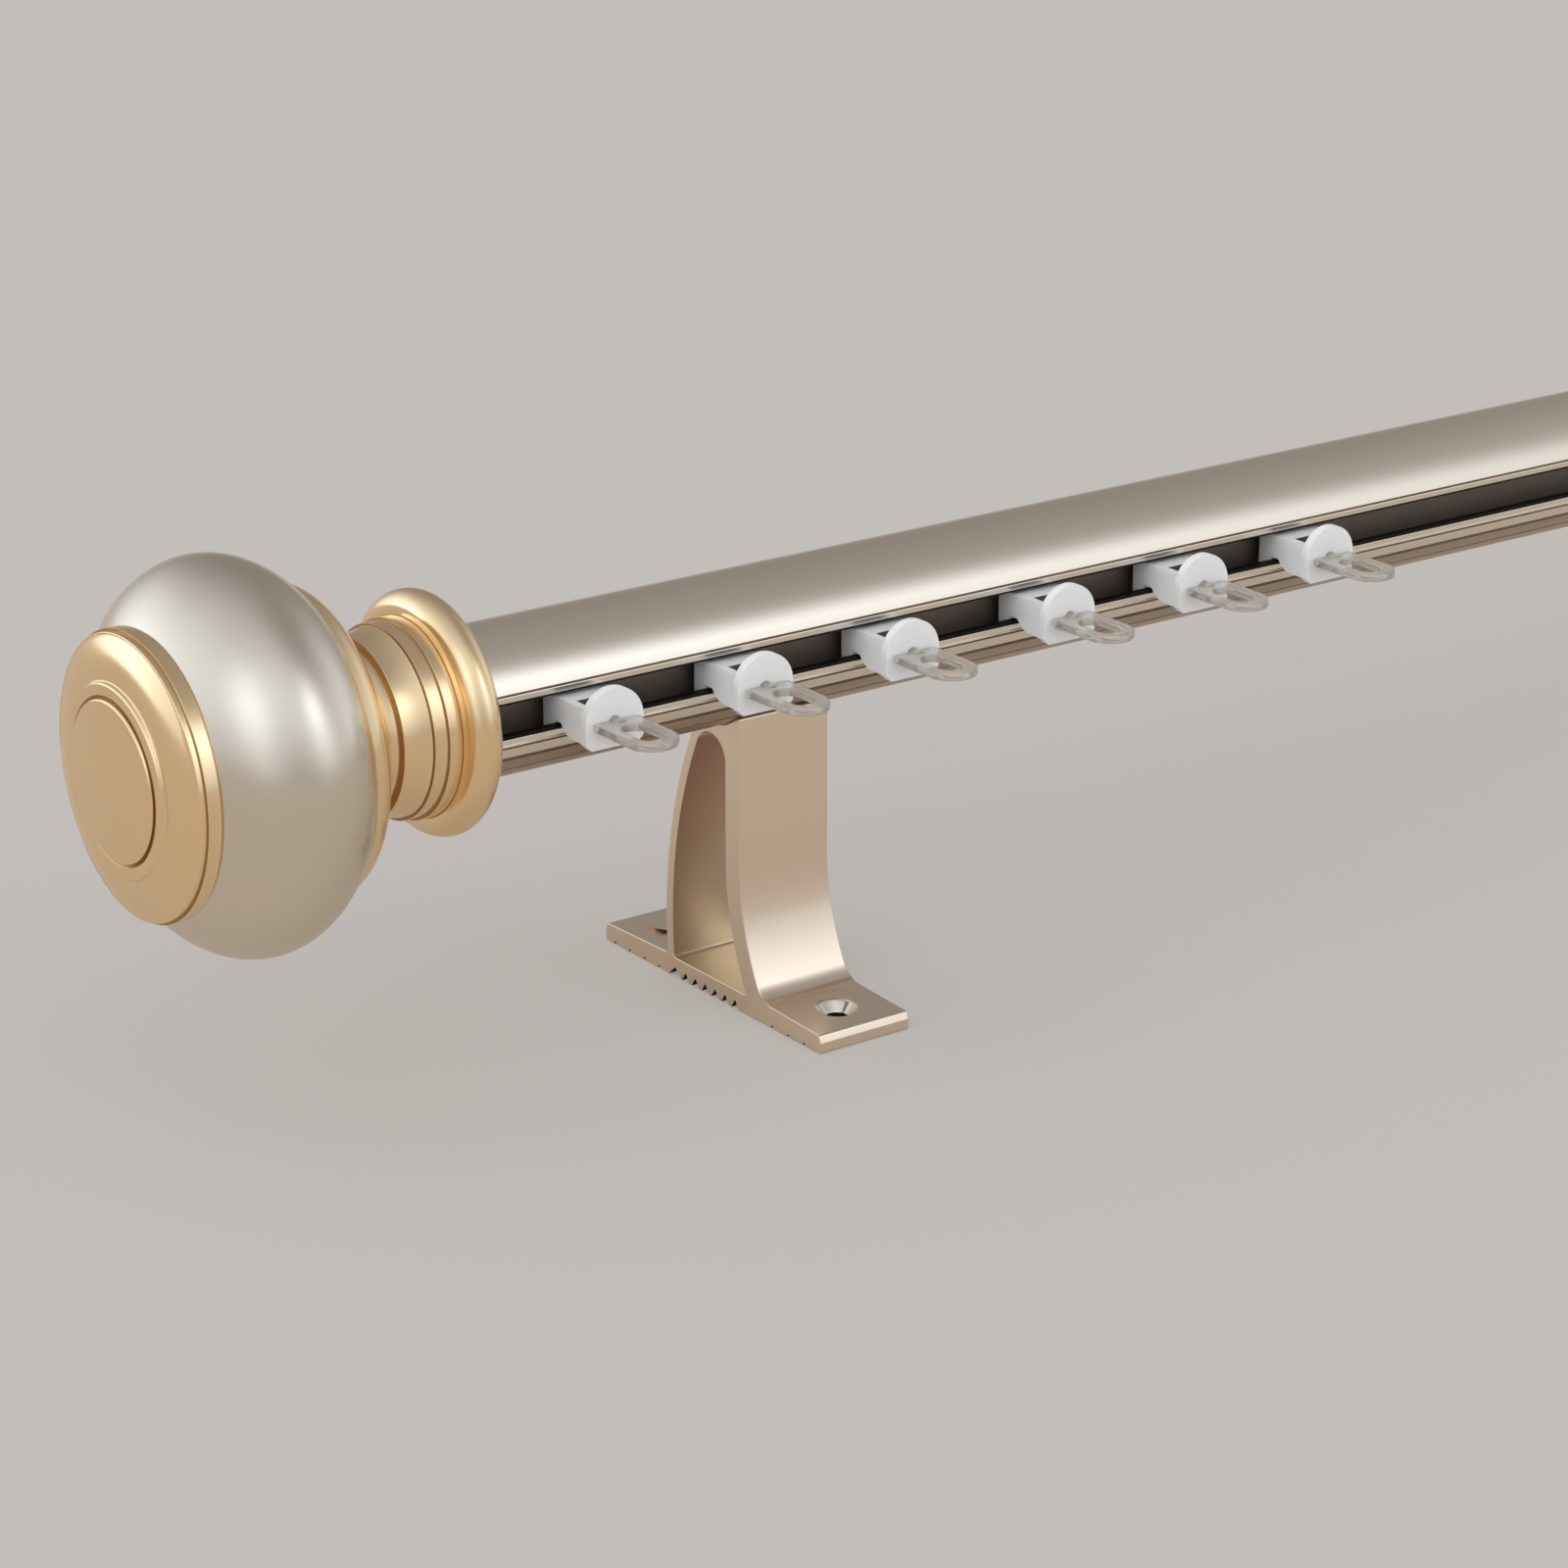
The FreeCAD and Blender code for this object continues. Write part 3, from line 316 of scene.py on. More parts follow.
# Its material slots: 1 has the channel's painted shade, 2 the lines' painted shade and 3 the underside's
# painted shade.
for face in rail.data.polygons:
    middle = Vector((face.center.y, face.center.z)) / MM - Vector((0, AXIS_HEIGHT))
    if abs(face.normal.x) > 0.5:
        continue
    radius = middle.length
    angle = math.degrees(math.atan2(-middle.y, -middle.x))
    in_depth = CHANNEL_FRONT + 0.02 < middle.x < CHANNEL_BACK + 0.02
    under_skin = radius < RAIL_RADIUS - 0.02
    if in_depth and abs(middle.y) < CHANNEL_HALF_HEIGHT + 0.02:
        face.material_index = 1
    elif under_skin and any(
        abs(angle - (line - 180)) < math.degrees(width / 2 / RAIL_RADIUS) for line, width, _ in skin_lines
    ):
        face.material_index = 2 if angle > LINE_SHADE_FROM else 3
    elif UNDERSIDE_SHADE_FROM < angle < 90 - clamp_angle and radius > RAIL_RADIUS - 0.1:
        face.material_index = 3
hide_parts("rail")
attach(rail, "track")


# Glide strips
# Black plastic angle strips, pressed over the slot's two lips. The runners' heads slide on them, and
# their noses line the slot's edges.
STRIP_NOSE = 3.0
STRIP_NOSE_THICKNESS = 0.45
STRIP_NOSE_LENGTH = 1.1
STRIP_CLEARANCE = 0.05
STRIP_THICKNESS = 0.7
STRIP_HEIGHT = 2.2
STRIP_BLACK_AND_NOTCH_SHADE = "#08080A"


def moulded(name, colour, roughness, grain, depth, spread_by=0.06):
    """Moulded plastic: the mould's spark-eroded grain shows as a fine even relief."""
    material, tree, shader = new_finish(name)
    place = add(tree, "ShaderNodeTexCoord").outputs["Object"]
    noise = add(tree, "ShaderNodeTexNoise", {"Vector": place, "Scale": 1 / (grain * MM), "Detail": 3.0})
    values = spread(tree, noise, roughness, spread_by, low=0.0, high=1.0)
    feed(shader, {"Base Color": linear(colour), "Roughness": values, "Normal": relief(tree, noise, depth)})
    return material, shader


# Extruded PVC, black: nearly no colour, with a dull sheen along its edges.
black_pvc, pvc_shader = moulded("extruded_black_pvc", STRIP_BLACK_AND_NOTCH_SHADE, roughness=0.6, grain=0.4, depth=0.004)
feed(pvc_shader, {"Specular IOR Level": 0.25})

for strip_name, side in (("upper_glide_strip", 1), ("lower_glide_strip", -1)):
    seat = CHANNEL_FRONT + STRIP_CLEARANCE
    strip_corners = [
        (CHANNEL_FRONT - STRIP_NOSE_LENGTH, side * STRIP_NOSE, 0.15),
        (seat + STRIP_THICKNESS, side * STRIP_NOSE, 0.15),
        (seat + STRIP_THICKNESS, side * (STRIP_NOSE + STRIP_HEIGHT), 0.15),
        (seat, side * (STRIP_NOSE + STRIP_HEIGHT), 0.1),
        (seat, side * (STRIP_NOSE + STRIP_NOSE_THICKNESS), 0.1),
        (CHANNEL_FRONT - STRIP_NOSE_LENGTH, side * (STRIP_NOSE + STRIP_NOSE_THICKNESS), 0.15),
    ]
    strip_outline = rounded(strip_corners if side > 0 else strip_corners[::-1], 3)
    strip = prism(strip_name + "_profile", along_rail, [strip_outline], -RAIL_END, RAIL_END, black_pvc)
    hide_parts(strip_name)
    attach(strip, "track")


# Brackets
# Each is a slice of an aluminium extrusion: a wall plate, a flared front leg, a thin rear leg and a
# tall arched hollow. The saw leaves fine lines on its two sides. Two countersunk holes take wall screws.
BRACKET_PLACES = {"left": -209.5, "right": 209.5}
BRACKET_HALF_WIDTH = 10.5
BASE_HALF_LENGTH = 36.5
BASE_END_THICKNESS = 3.8
BASE_ROOT_THICKNESS = 4.5
BASE_FLOOR = 4.1
BASE_BEVEL = 0.6
BASE_BEVEL_START = 2.3
BASE_BEVEL_ROUND = 0.6
BASE_EDGE_ROUND = 0.8
# Teeth and scores under the plate: places from its middle, and width and depth.
SCORE = (1.3, 0.6)
SCORE_PITCH = 5.2
NEAR_SCORE_PLACE = -20.8
NEAR_SCORE_COUNT = 3
FAR_SCORE_PLACE = 17.4
FAR_SCORE_COUNT = 4
TOOTH_NOTCH = (2.6, 1.75)
TOOTH_NOTCH_PITCH = 3.35
TOOTH_NOTCH_FIRST = 8.35
TOOTH_NOTCH_COUNT = 6
CORNER_NOTCH = (4.4, 1.9)
CORNER_NOTCH_PLACE = 12.0
NOTCH_FLOOR_HALF = 0.12
NOTCH_CEILING = 1.95
FOOT_ROUND = 6.0
NEAR_LEG_FACE = -10.2
NEAR_LEG_THICKNESS = 4.7
NEAR_LEG_TOP = 59.8
FLARE_RADIUS = 48.0
FLARE_START = 30.0
FAR_LEG_FACE = 14.8
FAR_LEG_THICKNESS = 2.2
FAR_LEG_RADIUS = 96.75
FAR_LEG_BULGE = 12.0
FAR_LEG_ROOT_ROUND = 0.8
HOLLOW_ROUND = 0.7
ARCH_RADIUS = 4.9
SADDLE_RADIUS = 14.55
SADDLE_FAR_EDGE = 3.4
SHOULDER_HEIGHT = 53.6
WALL_HOLE_PLACE = 27.5
WALL_HOLE_RADIUS = 2.25
COUNTERSINK_RADIUS = 4.2
COUNTERSINK_DEPTH = 1.9
SAWN_EDGE_ROUND = 0.25
DRILLED_CREASE = 20
CLAMP_HEAD_RADIUS = 3.8
CLAMP_HOLE_RADIUS = 2.2
CLAMP_SEAT = 53.85
SAW_LINES = {"line_spacing": 0.4, "line_length": 40.0, "depth": 0.00006}
ROSY_CHAMPAGNE = "#F0E2D2"
# Painted shade of the hollow: rosy brown under the arch, paler by the plate.
ROSY_PAINTED_SHADE = "#BE9C89"
PALE_PAINTED_SHADE = "#E3D3BC"
PALE_UP_TO = 6
ROSY_FROM = 52
BORE_SHADE_BROWN = "#4C3B2E"
COUNTERSINK_HIGHLIGHT = "#F1EDE6"


def bracket_outline():
    """The bracket's outer outline, counter-clockwise as (Y, height), with the teeth under its plate."""
    flare_centre = Vector((NEAR_LEG_FACE - FLARE_RADIUS, FLARE_START))
    foot_y = flare_centre.x + math.sqrt(FLARE_RADIUS**2 - (FLARE_START - BASE_ROOT_THICKNESS) ** 2)
    plate_end = Vector((-BASE_HALF_LENGTH, BASE_END_THICKNESS))
    plate_run = (Vector((foot_y, BASE_ROOT_THICKNESS)) - plate_end).normalized()
    lifted = plate_end + Vector((-plate_run.y, plate_run.x)) * FOOT_ROUND - flare_centre
    along_plate = lifted.dot(plate_run)
    reach = (FLARE_RADIUS - FOOT_ROUND) ** 2 - lifted.length_squared + along_plate**2
    foot_centre = flare_centre + lifted + plate_run * (math.sqrt(reach) - along_plate)
    foot_turn = math.degrees(math.atan2(*reversed(foot_centre - flare_centre)))
    plate_turn = math.degrees(math.atan2(plate_run.y, plate_run.x)) - 90
    far_centre = (FAR_LEG_FACE - FAR_LEG_RADIUS, FAR_LEG_BULGE)
    far_low = math.degrees(math.asin((BASE_ROOT_THICKNESS - FAR_LEG_BULGE) / FAR_LEG_RADIUS))
    far_high = math.degrees(math.asin((SHOULDER_HEIGHT - FAR_LEG_BULGE) / FAR_LEG_RADIUS))
    land = -math.sqrt(SADDLE_RADIUS**2 - (AXIS_HEIGHT - NEAR_LEG_TOP) ** 2)
    saddle_from = math.degrees(math.acos(SADDLE_FAR_EDGE / SADDLE_RADIUS))
    saddle_to = math.degrees(math.acos(land / SADDLE_RADIUS))
    flare = arc(flare_centre, FLARE_RADIUS, 0, foot_turn, 1.5)
    flare += arc(foot_centre, FOOT_ROUND, foot_turn, plate_turn, 6)[1:]
    teeth = [(NEAR_SCORE_PLACE - SCORE_PITCH * i, *SCORE) for i in reversed(range(NEAR_SCORE_COUNT))]
    for i in reversed(range(TOOTH_NOTCH_COUNT)):
        teeth.append((TOOTH_NOTCH_FIRST - TOOTH_NOTCH_PITCH * i, *TOOTH_NOTCH))
    teeth.append((CORNER_NOTCH_PLACE, *CORNER_NOTCH))
    teeth += [(FAR_SCORE_PLACE + SCORE_PITCH * i, *SCORE) for i in range(FAR_SCORE_COUNT)]
    outline = [(-BASE_HALF_LENGTH, 0, BASE_EDGE_ROUND)]
    end_bevel = [
        (BASE_HALF_LENGTH, BASE_BEVEL_START, BASE_BEVEL_ROUND),
        (BASE_HALF_LENGTH - BASE_BEVEL, BASE_END_THICKNESS, BASE_BEVEL_ROUND),
    ]
    for place, width, depth in teeth:
        start = max(place - width / 2, outline[-1][0] + NOTCH_FLOOR_HALF)
        floor_ends = [(place - NOTCH_FLOOR_HALF, depth), (place + NOTCH_FLOOR_HALF, depth)]
        outline += [(start, 0), *floor_ends, (place + width / 2, 0)]
    outline += [(BASE_HALF_LENGTH, 0, BASE_EDGE_ROUND), *end_bevel]
    outline += [arc(far_centre, FAR_LEG_RADIUS, far_low, far_low + 1)[0] + (FAR_LEG_ROOT_ROUND,)]
    outline += arc(far_centre, FAR_LEG_RADIUS, far_low + 1, far_high, 1.5)
    outline += arc((0, AXIS_HEIGHT), SADDLE_RADIUS, -saddle_from, -saddle_to, 3)[:-1]
    outline += [(land, NEAR_LEG_TOP, 0.25), (NEAR_LEG_FACE, NEAR_LEG_TOP, 0.3)]
    outline += flare
    outline += [(-y, z, r) for y, z, r in reversed(end_bevel)]
    return rounded(outline, 6)


def bracket_hollow():
    """The hollow between the legs, clockwise, closed above by a round arch."""
    far_radius = FAR_LEG_RADIUS - FAR_LEG_THICKNESS
    far_centre = (FAR_LEG_FACE - FAR_LEG_RADIUS, FAR_LEG_BULGE)
    near_radius = FLARE_RADIUS + NEAR_LEG_THICKNESS
    near_inner = NEAR_LEG_FACE + NEAR_LEG_THICKNESS
    arch_y = near_inner + ARCH_RADIUS
    rise = math.sqrt((far_radius - ARCH_RADIUS) ** 2 - (arch_y - far_centre[0]) ** 2)
    arch_centre = (arch_y, FAR_LEG_BULGE + rise)
    far_top = math.degrees(math.atan2(rise, arch_y - far_centre[0]))
    far_low = math.degrees(math.asin((BASE_FLOOR - FAR_LEG_BULGE) / far_radius))
    near_turn = math.degrees(math.asin((FLARE_START - BASE_FLOOR) / near_radius))
    hollow = arc((NEAR_LEG_FACE - FLARE_RADIUS, FLARE_START), near_radius, 0, -near_turn, 1.5)[::-1]
    hollow[0] = hollow[0] + (HOLLOW_ROUND,)
    hollow += arc(arch_centre, ARCH_RADIUS, 180, far_top, 8)
    far_leg = arc(far_centre, far_radius, far_top, far_low, 1.5)[1:]
    far_leg[-1] = far_leg[-1] + (HOLLOW_ROUND,)
    return rounded(hollow + far_leg, 4)


def combine(piece, other, operation):
    """Unites another solid with a piece, or cuts it out, and leaves one plain mesh."""
    piece.modifiers.clear()
    other.modifiers.clear()
    boolean = piece.modifiers.new("combine", "BOOLEAN")
    boolean.operation = operation
    boolean.object = other
    boolean.solver = "EXACT"
    plain = bpy.data.meshes.new_from_object(piece.evaluated_get(bpy.context.evaluated_depsgraph_get()))
    piece.modifiers.remove(boolean)
    old = piece.data
    piece.data = plain
    bpy.data.meshes.remove(old)
    bpy.data.objects.remove(other)


def spun(name, axis_place, profile, material, steps=160, uv_name=None):
    """Solid turned from (along, radius) points; axis_place(along, a, b) gives a point beside the axis."""
    vertices = []
    faces = []
    corners = []
    count = len(profile)
    for turn in range(steps):
        t = 2 * math.pi * turn / steps
        vertices += [axis_place(along, r * math.cos(t), r * math.sin(t)) for along, r in profile]
    for turn in range(steps):
        for i in range(count):
            j = (i + 1) % count
            a, b = turn * count, (turn + 1) % steps * count
            if profile[i][1] < 0.001 and profile[j][1] < 0.001:
                continue
            faces.append((a + i, a + j, b + j, b + i))
            corners.append((turn, i))
    mesh = mesh_in_mm(name, vertices, faces)
    if uv_name:
        layer = mesh.uv_layers.new(name=uv_name)
        for polygon, (turn, i) in zip(mesh.polygons, corners):
            around = (turn, turn, turn + 1, turn + 1)
            along = (i, i + 1, i + 1, i)
            for loop, u, v in zip(polygon.loop_indices, around, along):
                layer.data[loop].uv = (u / steps, v / count)
    piece = shaded_piece(mesh, material, weld=0.0005, slivers=0.0002)
    keep_flats_flat(piece)
    return piece


def drill(piece, axis_place, profile, steps, uv_name=None):
    """Cuts a turned hole out of a piece, with walls in the piece's own finish."""
    hole = spun("hole", axis_place, profile, piece.data.materials[0], steps, uv_name)
    combine(piece, hole, "DIFFERENCE")


# Anodised like the rail, but it looks rosier: tan where it faces the floor, cream on the flare.
champagne_bracket = drawn_metal(
    "anodised_rosy_champagne_bracket", ROSY_CHAMPAGNE, roughness=0.24, **SAW_LINES
)

# Painted shade inside the arch: the skin is rosy brown, darkest at the top under the arch and paler by the
# plate.
hollow_shade_finish = drawn_metal("rosy_brown_inner_skin", ROSY_PAINTED_SHADE, roughness=0.32, **SAW_LINES)
skin_tree = hollow_shade_finish.node_tree
skin_place = add(skin_tree, "ShaderNodeTexCoord").outputs["Object"]
skin_height = add(skin_tree, "ShaderNodeSeparateXYZ", {0: skin_place}).outputs["Z"]
height_limits = {"From Min": PALE_UP_TO * MM, "From Max": ROSY_FROM * MM}
rosy_part = add(skin_tree, "ShaderNodeMapRange", {"Value": skin_height, **height_limits})
hollow_shade_colour = add(skin_tree, "ShaderNodeMix", {"Factor": rosy_part}, data_type="RGBA")
feed(hollow_shade_colour, {6: linear(PALE_PAINTED_SHADE), 7: linear(ROSY_PAINTED_SHADE)})
feed(node_of(skin_tree, "BSDF_PRINCIPLED"), {"Base Color": hollow_shade_colour.outputs[2]})
# Painted shade: the grooves under the plate are black and the holes' bores dark brown,
# standing for the shade in them. Painted highlight: the countersinks are paler and smoother,
# standing for their bright rims. Grip rubber, cutting oil and cut metal are guesses that stand for
# that.
notch_shade_finish, _ = moulded("black_grip_rubber", STRIP_BLACK_AND_NOTCH_SHADE, roughness=0.6, grain=0.4, depth=0.004)
bore_shade_finish = drawn_metal(
    "oiled_drilled_bore", BORE_SHADE_BROWN, roughness=0.5, line_spacing=0.3, line_length=1.0, depth=0.00006
)
# Painted highlight on the countersinks: a paler colour for their bright rims.
countersink_highlight_finish = drawn_metal(
    "bright_cut_countersink", COUNTERSINK_HIGHLIGHT,
    roughness=0.16, line_spacing=0.3, line_length=0.3, depth=0.00004,
)


def in_hollow(y, z):
    """True for a point on the hollow's wall."""
    near = y - NEAR_LEG_FACE + FLARE_RADIUS
    if z < FLARE_START:
        near = math.hypot(near, z - FLARE_START)
    far = math.hypot(y - FAR_LEG_FACE + FAR_LEG_RADIUS, z - FAR_LEG_BULGE)
    past_near_leg = near > FLARE_RADIUS + NEAR_LEG_THICKNESS - 0.1
    before_far_leg = far < FAR_LEG_RADIUS - FAR_LEG_THICKNESS + 0.1
    return past_near_leg and before_far_leg and BASE_FLOOR - 0.1 < z < SHOULDER_HEIGHT - 1


rim = BASE_END_THICKNESS + (BASE_ROOT_THICKNESS - BASE_END_THICKNESS) / 2
wall_hole_profile = [
    (-1.0, 0),
    (-1.0, WALL_HOLE_RADIUS),
    (rim - COUNTERSINK_DEPTH, WALL_HOLE_RADIUS),
    (rim - 0.25, COUNTERSINK_RADIUS - 0.3),
    (rim - 0.08, COUNTERSINK_RADIUS - 0.02),
    (rim + 0.6, COUNTERSINK_RADIUS + 1.6),
    (rim + 0.6, 0),
]
clamp_hole_profile = [
    (FLARE_START, 0),
    (FLARE_START, CLAMP_HEAD_RADIUS),
    (CLAMP_SEAT, CLAMP_HEAD_RADIUS),
    (CLAMP_SEAT, CLAMP_HOLE_RADIUS),
    (AXIS_HEIGHT, CLAMP_HOLE_RADIUS),
    (AXIS_HEIGHT, 0),
]
for side_name, bracket_x in BRACKET_PLACES.items():
    bracket = prism(
        "bracket_" + side_name + "_arch",
        lambda a, b, along: (along, a, b),
        [bracket_outline(), bracket_hollow()],
        bracket_x - BRACKET_HALF_WIDTH,
        bracket_x + BRACKET_HALF_WIDTH,
        champagne_bracket,
        edge=SAWN_EDGE_ROUND,
    )
    for hole_y in (-WALL_HOLE_PLACE, WALL_HOLE_PLACE):
        drill(bracket, lambda along, a, b: (bracket_x + a, hole_y + b, along), wall_hole_profile, 64)
    drill(bracket, lambda along, a, b: (bracket_x + a, b, along), clamp_hole_profile, 64)
    for finish in (notch_shade_finish, hollow_shade_finish, bore_shade_finish, countersink_highlight_finish):
        bracket.data.materials.append(finish)
    # Its material slots: 1 has the notches' painted shade, 2 the hollow's painted shade, 3 the bores'
    # painted shade and 4 the countersinks' painted highlight.
    for face in bracket.data.polygons:
        middle = face.center / MM
        sideways = abs(face.normal.x) > 0.5
        in_notch = 0.05 < middle.z < NOTCH_CEILING and abs(middle.y) < BASE_HALF_LENGTH - 1
        if not sideways and in_notch and face.normal.z < -0.2:
            face.material_index = 1
        elif not sideways and in_hollow(middle.y, middle.z):
            face.material_index = 2
        hole_radius = math.hypot(middle.x - bracket_x, abs(middle.y) - WALL_HOLE_PLACE)
        if hole_radius < COUNTERSINK_RADIUS and middle.z < BASE_ROOT_THICKNESS and 0.05 < middle.z:
            if hole_radius < WALL_HOLE_RADIUS + 0.1 and abs(face.normal.z) < 0.3:
                face.material_index = 3
            elif 0.2 < face.normal.z < 0.95:
                face.material_index = 4
    bracket.data.set_sharp_from_angle(angle=math.radians(DRILLED_CREASE))
    keep_flats_flat(bracket)
    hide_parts("bracket_" + side_name)
    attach(bracket, "track")


# Clamp screws and clamp plates
# A pan-head screw from inside each arch pulls a threaded steel plate down on the ledges of the rail's
# lower channel. Both are zinc plated. They keep the CAD meshes.
ZINC = "#C6C8C9"
zinc_steel = drawn_metal(
    "zinc_plated_steel", ZINC, roughness=0.32, line_spacing=0.3, line_length=1.0, depth=0.002
)


def coat(*node_names):
    """Gives the CAD nodes of both sides the zinc finish and leaves their meshes alone."""
    for side_name in BRACKET_PLACES:
        for node_name in node_names:
            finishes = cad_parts[node_name + side_name].data.materials
            finishes.clear()
            finishes.append(zinc_steel)


coat("clamp_screw_", "clamp_plate_")


# Finial necks
# Turned aluminium, lacquered gold: a round flange bead that stops the rail, two stepped bands, a short
# neck, a cove and the collar that the ball sits in. A set screw in the hidden side holds it to the rail.
SIDES = (("left", -1), ("right", 1))
FLANGE_FACE = 279.2
SOCKET_RADIUS = 14.58
BEAD_RADIUS = 3.65
BEAD_CENTRE = 19.45
BAND_LENGTH = 2.8
BAND_HEIGHT = 0.5
NECK_RADIUS = 17.0
NECK_FLARE = 0.8
NECK_LENGTH = 5.6
NECK_EDGE_HEIGHT = 0.8
COVE_LENGTH = 7.8
COVE_SAG = 3.6
COLLAR_RIM_RADIUS = 25.2
COLLAR_LENGTH = 5.1
COLLAR_BULGE = 1.3
BALL_HALF_LENGTH = 22.5
BALL_RADIUS = 36.5
BALL_COLLAR_CUT = 13.2
BALL_CAP_CUT = 15.8
RAIL_INSERTION = 20.8
SPIGOT_LENGTH = 2.0
NECK_SPIGOT_RADIUS = 25.3
TIE_SCREW_PASS_RADIUS = 2.75
HEAD_ROOM_LENGTH = 4.5
HEAD_ROOM_RADIUS = 9.0
TURNING_STEPS = 180
CLOUD_SIZE = 9
SET_SCREW_PLACE = 15.5
SET_SCREW_HOLE_RADIUS = 2.05
GOLD = "#F8DEB6"
GROOVE_SHADE_GOLD = "#AC8858"


def on_finial(side):
    """Place for turned profiles: along runs outwards from the flange's face of that side's finial."""
    return lambda along, a, b: (side * (FLANGE_FACE + along), a, b + AXIS_HEIGHT)


def through(start, middle, end, steps=12):
    """Points of the arc through three points, as (along, radius), without the first."""
    a, b, c = (Vector(p) for p in (start, middle, end))
    ab, ac = b - a, c - a
    cross = 2 * ab.cross(ac)
    to_centre = Vector((ac.y * ab.length_squared - ab.y * ac.length_squared,
                        ab.x * ac.length_squared - ac.x * ab.length_squared)) / cross
    centre = a + to_centre
    first = a - centre
    last = c - centre
    turn = math.atan2(first.cross(last), first.dot(last))
    middle_turn = math.atan2(first.cross(b - centre), first.dot(b - centre))
    if turn * middle_turn < 0 or abs(middle_turn) > abs(turn):
        turn -= math.copysign(2 * math.pi, turn)
    return [tuple(centre + Matrix.Rotation(turn * i / steps, 2) @ first) for i in range(1, steps + 1)]


def ball_radius_at(offset):
    """Radius of the oblate ball at a distance from its middle."""
    return BALL_RADIUS * math.sqrt(1 - (offset / BALL_HALF_LENGTH) ** 2)


def number_math(tree, operation, *values, **settings):
    """Result of a math node that takes the values in order."""
    return add(tree, "ShaderNodeMath", dict(enumerate(values)), operation=operation, **settings).outputs[0]


def vector_math(tree, operation, *values, result="Vector"):
    """Result of a vector math node that takes the values in order."""
    return add(tree, "ShaderNodeVectorMath", dict(enumerate(values)), operation=operation).outputs[result]


def turned_metal(name, colour, roughness, spread_by, brushed=0.0, rings=None):
    """Metal turned about the rail's axis, with the spacing and depth of the tool's rings.

    brushed is how far fine turning lines stretch each reflection along a radius.
    """
    material, tree, shader = new_finish(name)
    place = add(tree, "ShaderNodeTexCoord").outputs["Object"]
    if rings:
        spacing, depth = rings
        axis = add(tree, "ShaderNodeMapping", {"Vector": place, "Location": (0, 0, -AXIS_HEIGHT * MM)})
        split = add(tree, "ShaderNodeSeparateXYZ", {0: axis}).outputs
        flat = add(tree, "ShaderNodeCombineXYZ", {"Y": split["Y"], "Z": split["Z"]})
        radius = vector_math(tree, "LENGTH", flat, result="Value")
        along = number_math(tree, "ADD", radius, split["X"])
        sizes = {"Scale": 1 / (spacing * MM), "Detail": 2.0}
        noise = add(tree, "ShaderNodeTexNoise", {"W": along, **sizes}, noise_dimensions="1D")
        feed(shader, {"Normal": relief(tree, noise, depth)})
    cloud_scale = 1 / (CLOUD_SIZE * MM)
    clouds = add(tree, "ShaderNodeTexNoise", {"Vector": place, "Scale": cloud_scale, "Detail": 3.0})
    tangent = add(tree, "ShaderNodeTangent", direction_type="UV_MAP", uv_map="turning")
    feed(shader, {"Base Color": linear(colour), "Metallic": 1.0, "Anisotropic": brushed})
    feed(shader, {"Roughness": spread(tree, clouds, roughness, spread_by), "Tangent": tangent})
    return material


def turned(name, side, profile, material):
    """A piece turned about the rail's axis, with a UV map that follows the turning."""
    return spun(name, on_finial(side), profile, material, steps=TURNING_STEPS, uv_name="turning")


# Gold lacquer on turned aluminium, satin: near white where it faces a light panel.
gold_turned = turned_metal(
    "gold_lacquered_turned_aluminium", GOLD,
    roughness=0.18, spread_by=0.02, brushed=0.5, rings=(0.9, 0.0004),
)
# Painted shade: the corners of the steps are a darker gold, standing for the shade in them.
# Lacquer that pooled there is a guess that stands for it.
gold_shade_finish = turned_metal("pooled_gold_lacquer", GROOVE_SHADE_GOLD, roughness=0.3, spread_by=0.02)


def paint_step_shade(piece, side, steps):
    """Gives faces by steps the painted shade: place along, reach, and lowest and highest radius."""
    piece.data.materials.append(gold_shade_finish)
    for face in piece.data.polygons:
        middle = face.center / MM
        along = side * middle.x - FLANGE_FACE
        radius = math.hypot(middle.y, middle.z - AXIS_HEIGHT)
        for place, reach, low, high in steps:
            if abs(along - place) < reach and low < radius < high:
                face.material_index = 1


steps_start = 2 * BEAD_RADIUS
neck_start = steps_start + 2 * BAND_LENGTH
neck_edge = neck_start + NECK_LENGTH
collar_start = neck_edge + COVE_LENGTH
collar_end = collar_start + COLLAR_LENGTH
ball_centre = collar_end + BALL_COLLAR_CUT
cap_start = ball_centre + BALL_CAP_CUT

band = NECK_RADIUS + NECK_FLARE + BAND_HEIGHT
neck_top = (neck_start, NECK_RADIUS + NECK_FLARE)
cove_radius = NECK_RADIUS - NECK_EDGE_HEIGHT
collar_rim = (collar_start, COLLAR_RIM_RADIUS)
collar_edge = (collar_end, ball_radius_at(BALL_COLLAR_CUT))
neck_middle = (neck_start + NECK_LENGTH / 2, NECK_RADIUS + NECK_FLARE / 4)
cove_middle = (
    (neck_edge + collar_start + COVE_SAG) / 2,
    (cove_radius + COLLAR_RIM_RADIUS - COVE_SAG) / 2,
)
collar_middle = (
    (collar_start + collar_end - COLLAR_BULGE) / 2,
    (COLLAR_RIM_RADIUS + collar_edge[1] + COLLAR_BULGE) / 2,
)
neck_corners = [(0.0, SOCKET_RADIUS), *arc((BEAD_RADIUS, BEAD_CENTRE), BEAD_RADIUS, 180, 0, 5)]
neck_corners += [
    (steps_start, band + BAND_HEIGHT, 0.2),
    (steps_start + BAND_LENGTH, band + BAND_HEIGHT, 0.3),
    (steps_start + BAND_LENGTH, band, 0.15),
    (neck_start, band, 0.25),
    (*neck_top, 0.1),
]
